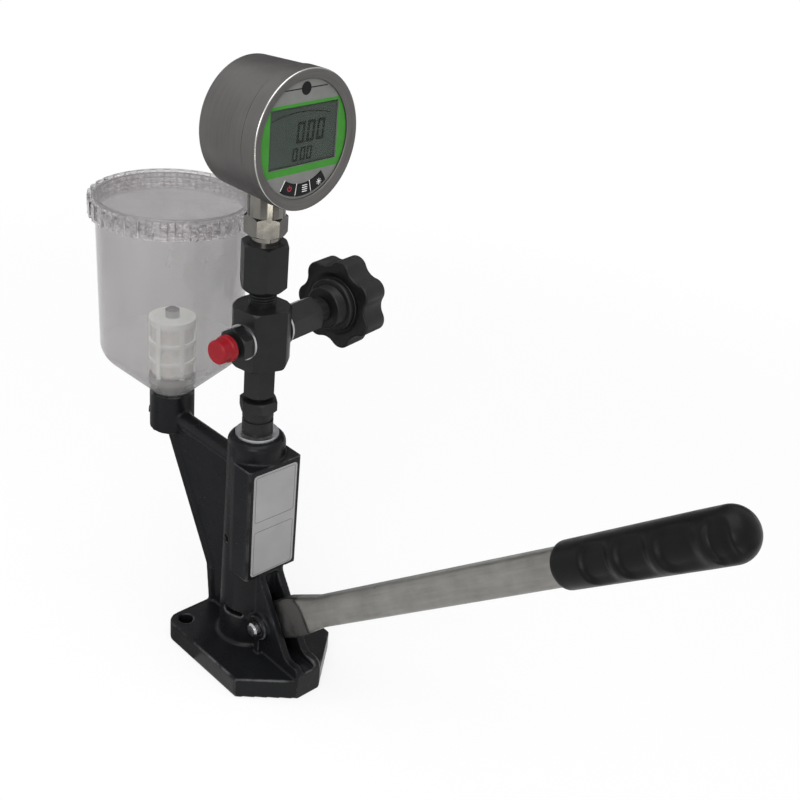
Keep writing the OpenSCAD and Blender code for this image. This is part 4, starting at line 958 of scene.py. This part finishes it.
# Heights of the hub's end, the star's back and its front along the valve
KNOB_HUB = 58.5
KNOB_BACK = 69.3
KNOB_FRONT = 88.8
KNOB_EDGE = 1.4
# Radii and heights of the round steps: from the hub's end, from the star's back and from its front
HUB_STEPS = ((4.05, 0), (12.6, 0), (13.4, 0.3), (13.9, 1.1), (14.0, 6.6), (14.3, 7.0), (16.6, 7.1),
             (17.4, 7.4), (17.9, 8.2))
DISH_STEPS = ((18.0, 0.6), (18.4, 1.0), (20.0, 0.9), (20.8, 0.3), (21.4, 0.05))
FRONT_STEPS = ((20.0, -0.1), (14.0, -0.2), (4.0, -0.2))


def star_radius(a):
    """Radius of the star at an angle from the middle of a lobe: round lobes with hollows between."""
    lobe_r = KNOB_R * KNOB_LOBE_SHARE
    lobe_at = KNOB_R - lobe_r
    root = KNOB_R * KNOB_ROOT_SHARE
    half = math.pi / KNOB_LOBES
    hollow_r = (lobe_at ** 2 + root ** 2 - 2 * lobe_at * root * math.cos(half) - lobe_r ** 2) / (
        2 * (lobe_r + lobe_at * math.cos(half) - root))
    hollow_at = root + hollow_r
    a = (a + half) % (2 * half) - half
    lobe_centre = Vector((lobe_at, 0))
    hollow_centre = Vector((hollow_at * math.cos(half), hollow_at * math.sin(half)))
    meet = lobe_centre.lerp(hollow_centre, lobe_r / (lobe_r + hollow_r))
    if abs(a) <= math.atan2(meet.y, meet.x):
        return lobe_at * math.cos(a) + math.sqrt(max(0.0, lobe_r ** 2 - (lobe_at * math.sin(a)) ** 2))
    b = half - abs(a)
    return hollow_at * math.cos(b) - math.sqrt(max(0.0, hollow_r ** 2 - (hollow_at * math.sin(b)) ** 2))


def make_knob():
    around = 224
    edge = KNOB_EDGE
    quarter = [math.radians(10 * i) for i in range(10)]
    rings = [("round", r, KNOB_HUB + dz) for r, dz in HUB_STEPS]
    rings += [("round", r, KNOB_BACK + dz) for r, dz in DISH_STEPS]
    rings += [("star", edge * (1 - math.sin(u)), KNOB_BACK + edge * (1 - math.cos(u))) for u in quarter]
    rings += [("star", edge * (1 - math.cos(u)), KNOB_FRONT - edge * (1 - math.sin(u))) for u in quarter]
    rings += [("round", r, KNOB_FRONT + dz) for r, dz in FRONT_STEPS]
    verts = []
    for kind, value, z in rings:
        for k in range(around):
            a = 2 * math.pi * k / around
            r = value if kind == "round" else star_radius(a + KNOB_TURN) - value
            verts.append((r * math.cos(a), r * math.sin(a), z))
    add_piece("star_knob_moulded", ring_skin(verts, around), "knob", "knob_plastic",
              place=valve_frame, replaced=("star_knob",))


make_knob()


# Gauge face: print, display and key signs

FACE_R = 33.6
PRINT_T = 0.05
GREEN_LOW = -18.4
GREEN_HIGH = 21.0
DISPLAY_Y = 2.4
DISPLAY_HALF_W = 26.5
DISPLAY_HALF_H = 16.75
# Line with a disc above the display: heights of the line, its two stretches, and the disc
LINE_Y = (28.2, 28.8)
LINE_STRETCHES = ((-17.8, -3.8), (3.6, 16.4))
DISC_PLACE = (-0.1, 28.4)
DISC_R = 3.7
# Lines beside the keys: angle of the middle key, angle from key to key, and the lines' own sizes
KEY_MIDDLE = 2.5 - 90
KEY_STEP = 23.0
KEY_LINE_R = (24.8, 31.6)
KEY_LINE_HALF = 0.28
KEY_LINE_T = 0.08


def add_print(name, parts, mat, body="stand"):
    """Flat print on the gauge, made of several plates."""
    add_piece(name, joined(parts), body, mat, smooth=False, place=gauge_frame)


def rim_points(low, high, rows, side=1):
    """Points up the face's round edge between two heights, on the right side or, with -1, the left."""
    heights = [low + (high - low) * i / rows for i in range(rows + 1)]
    return [(side * math.sqrt(max(0.0, FACE_R * FACE_R - y * y)), y) for y in heights]


def make_face():
    low, high = PLATE_FRONT, PLATE_FRONT + PRINT_T
    lcd_low, lcd_high = DISPLAY_Y - DISPLAY_HALF_H, DISPLAY_Y + DISPLAY_HALF_H
    strips = []
    for bottom, top in ((GREEN_LOW, lcd_low), (lcd_high, GREEN_HIGH)):
        right = rim_points(bottom, top, 6)
        strips.append(plate(right + [(-x, y) for x, y in right[::-1]], low, high))
    for side in (-1, 1):
        inner = [(side * DISPLAY_HALF_W, lcd_high), (side * DISPLAY_HALF_W, lcd_low)]
        strips.append(plate(rim_points(lcd_low, lcd_high, 16, side) + inner, low, high))
    add_print("face_green_band", strips, "green_print")
    marks = [plate(rectangle(x0, LINE_Y[0], x1, LINE_Y[1]), low, high) for x0, x1 in LINE_STRETCHES]
    marks.append(plate(arc(DISC_R, 0, 350, 35, *DISC_PLACE), low, high))
    add_print("face_line", marks, "black_print")
    lines = []
    for place in (-1.5, -0.5, 0.5):
        a = math.radians(KEY_MIDDLE + KEY_STEP * place)
        lines.append(spoke(a, *KEY_LINE_R, KEY_LINE_HALF, low, low + KEY_LINE_T))
    add_print("face_key_lines", lines, "white_print")


def make_bezel_edge():
    """The polished line where the bezel's side turns over into its front, in a metal much lighter than the
    bezel's that paints a highlight along that edge.
    """
    proud, sunk = BEZEL_ROUND + 0.04, BEZEL_ROUND - 0.15
    centre = (BEZEL_R - BEZEL_ROUND, BEZEL_FRONT - BEZEL_ROUND)
    profile = arc(proud, 30, 60, 6, *centre) + arc(sunk, 30, 60, 6, *centre)[::-1]
    add_piece("bezel_edge", lathe(profile, 120), "stand", "polished_edge_highlight", place=gauge_frame)


# Rows of digits on the display: left edges, foot, width, height and width of bar
DIGIT_ROWS = (
    ((-5.2, 2.6, 10.4), -1.9, 6.0, 12.1, 1.75),
    ((-7.9, -1.9, 3.2), -11.9, 4.1, 7.6, 1.15),
)
DIGIT_LEAN = 0.09
# Points between digits: left edge, foot, width, height and how far the top leans over
DIGIT_POINTS = ((1.2, -1.9, 0.9, 1.0, 0.1), (-3.1, -11.9, 0.7, 0.7, 0.05))
# Long flat arc over the digits: its two radii, its ends in degrees and its centre
SCALE_ARC_R = (86.7, 87.3)
SCALE_ARC_TURN = (104.5, 74.5)
SCALE_ARC_CENTRE = (-2.2, -71.4)
INK_GAP = 0.01
INK_T = 0.08


def segment_digit(x, y, w, h, bar):
    """Zero in seven-segment style: six bars round a box, leaning to the right."""
    gap = bar * 0.12
    half = y + h / 2
    boxes = [
        rectangle(x + gap, y + h - bar, x + w - gap, y + h),
        rectangle(x + gap, y, x + w - gap, y + bar),
        rectangle(x, half + gap, x + bar, y + h - gap),
        rectangle(x + w - bar, half + gap, x + w, y + h - gap),
        rectangle(x, y + gap, x + bar, half - gap),
        rectangle(x + w - bar, y + gap, x + w, half - gap),
    ]
    return [[(px + DIGIT_LEAN * (py - y), py) for px, py in box] for box in boxes]


def make_display():
    low, high = PLATE_BACK + INK_GAP, PLATE_BACK + INK_GAP + INK_T
    parts = []
    for places, y, w, h, bar in DIGIT_ROWS:
        for x in places:
            parts += [plate(box, low, high) for box in segment_digit(x, y, w, h, bar)]
    for x, y, w, h, lean in DIGIT_POINTS:
        parts.append(plate([(x, y), (x + w, y), (x + w + lean, y + h), (x + lean, y + h)], low, high))
    parts.append(arc_strip(*SCALE_ARC_R, *SCALE_ARC_TURN, low, high, 40, *SCALE_ARC_CENTRE))
    add_print("display_segments", parts, "lcd_ink")


# Middle of the sign on each key
POWER_SIGN = (-9.9, -26.4)
BARS_SIGN = (2.2, -28.3)
LAMP_SIGN = (13.5, -26.1)


def make_key_signs():
    """A broken ring with a stroke, four bars, and a disc with rays."""
    low, high = KEY_TOP, KEY_TOP + PRINT_T
    x, y = POWER_SIGN
    stroke = rectangle(x - 0.22, y + 0.3, x + 0.22, y + 1.9)
    power = [arc_strip(1.15, 1.6, 130, 410, low, high, 30, x, y), plate(stroke, low, high)]
    add_print("sign_power", power, "red_print", "key_power")
    x, y = BARS_SIGN
    feet = (y - 1.8, y - 0.6, y + 0.6, y + 1.8)
    bars = [plate(rectangle(x - 2.0, foot, x + 2.0, foot + 0.5), low, high) for foot in feet]
    add_print("sign_bars", bars, "white_print", "key_units")
    x, y = LAMP_SIGN
    lamp = [arc_strip(0.0, 0.9, 0, 359, low, high, 24, x, y)]
    lamp += [spoke(math.radians(45 * i), 1.2, 2.0, 0.18, low, high, x, y) for i in range(8)]
    add_print("sign_lamp", lamp, "white_print", "key_light")


make_face()
make_bezel_edge()
make_display()
make_key_signs()
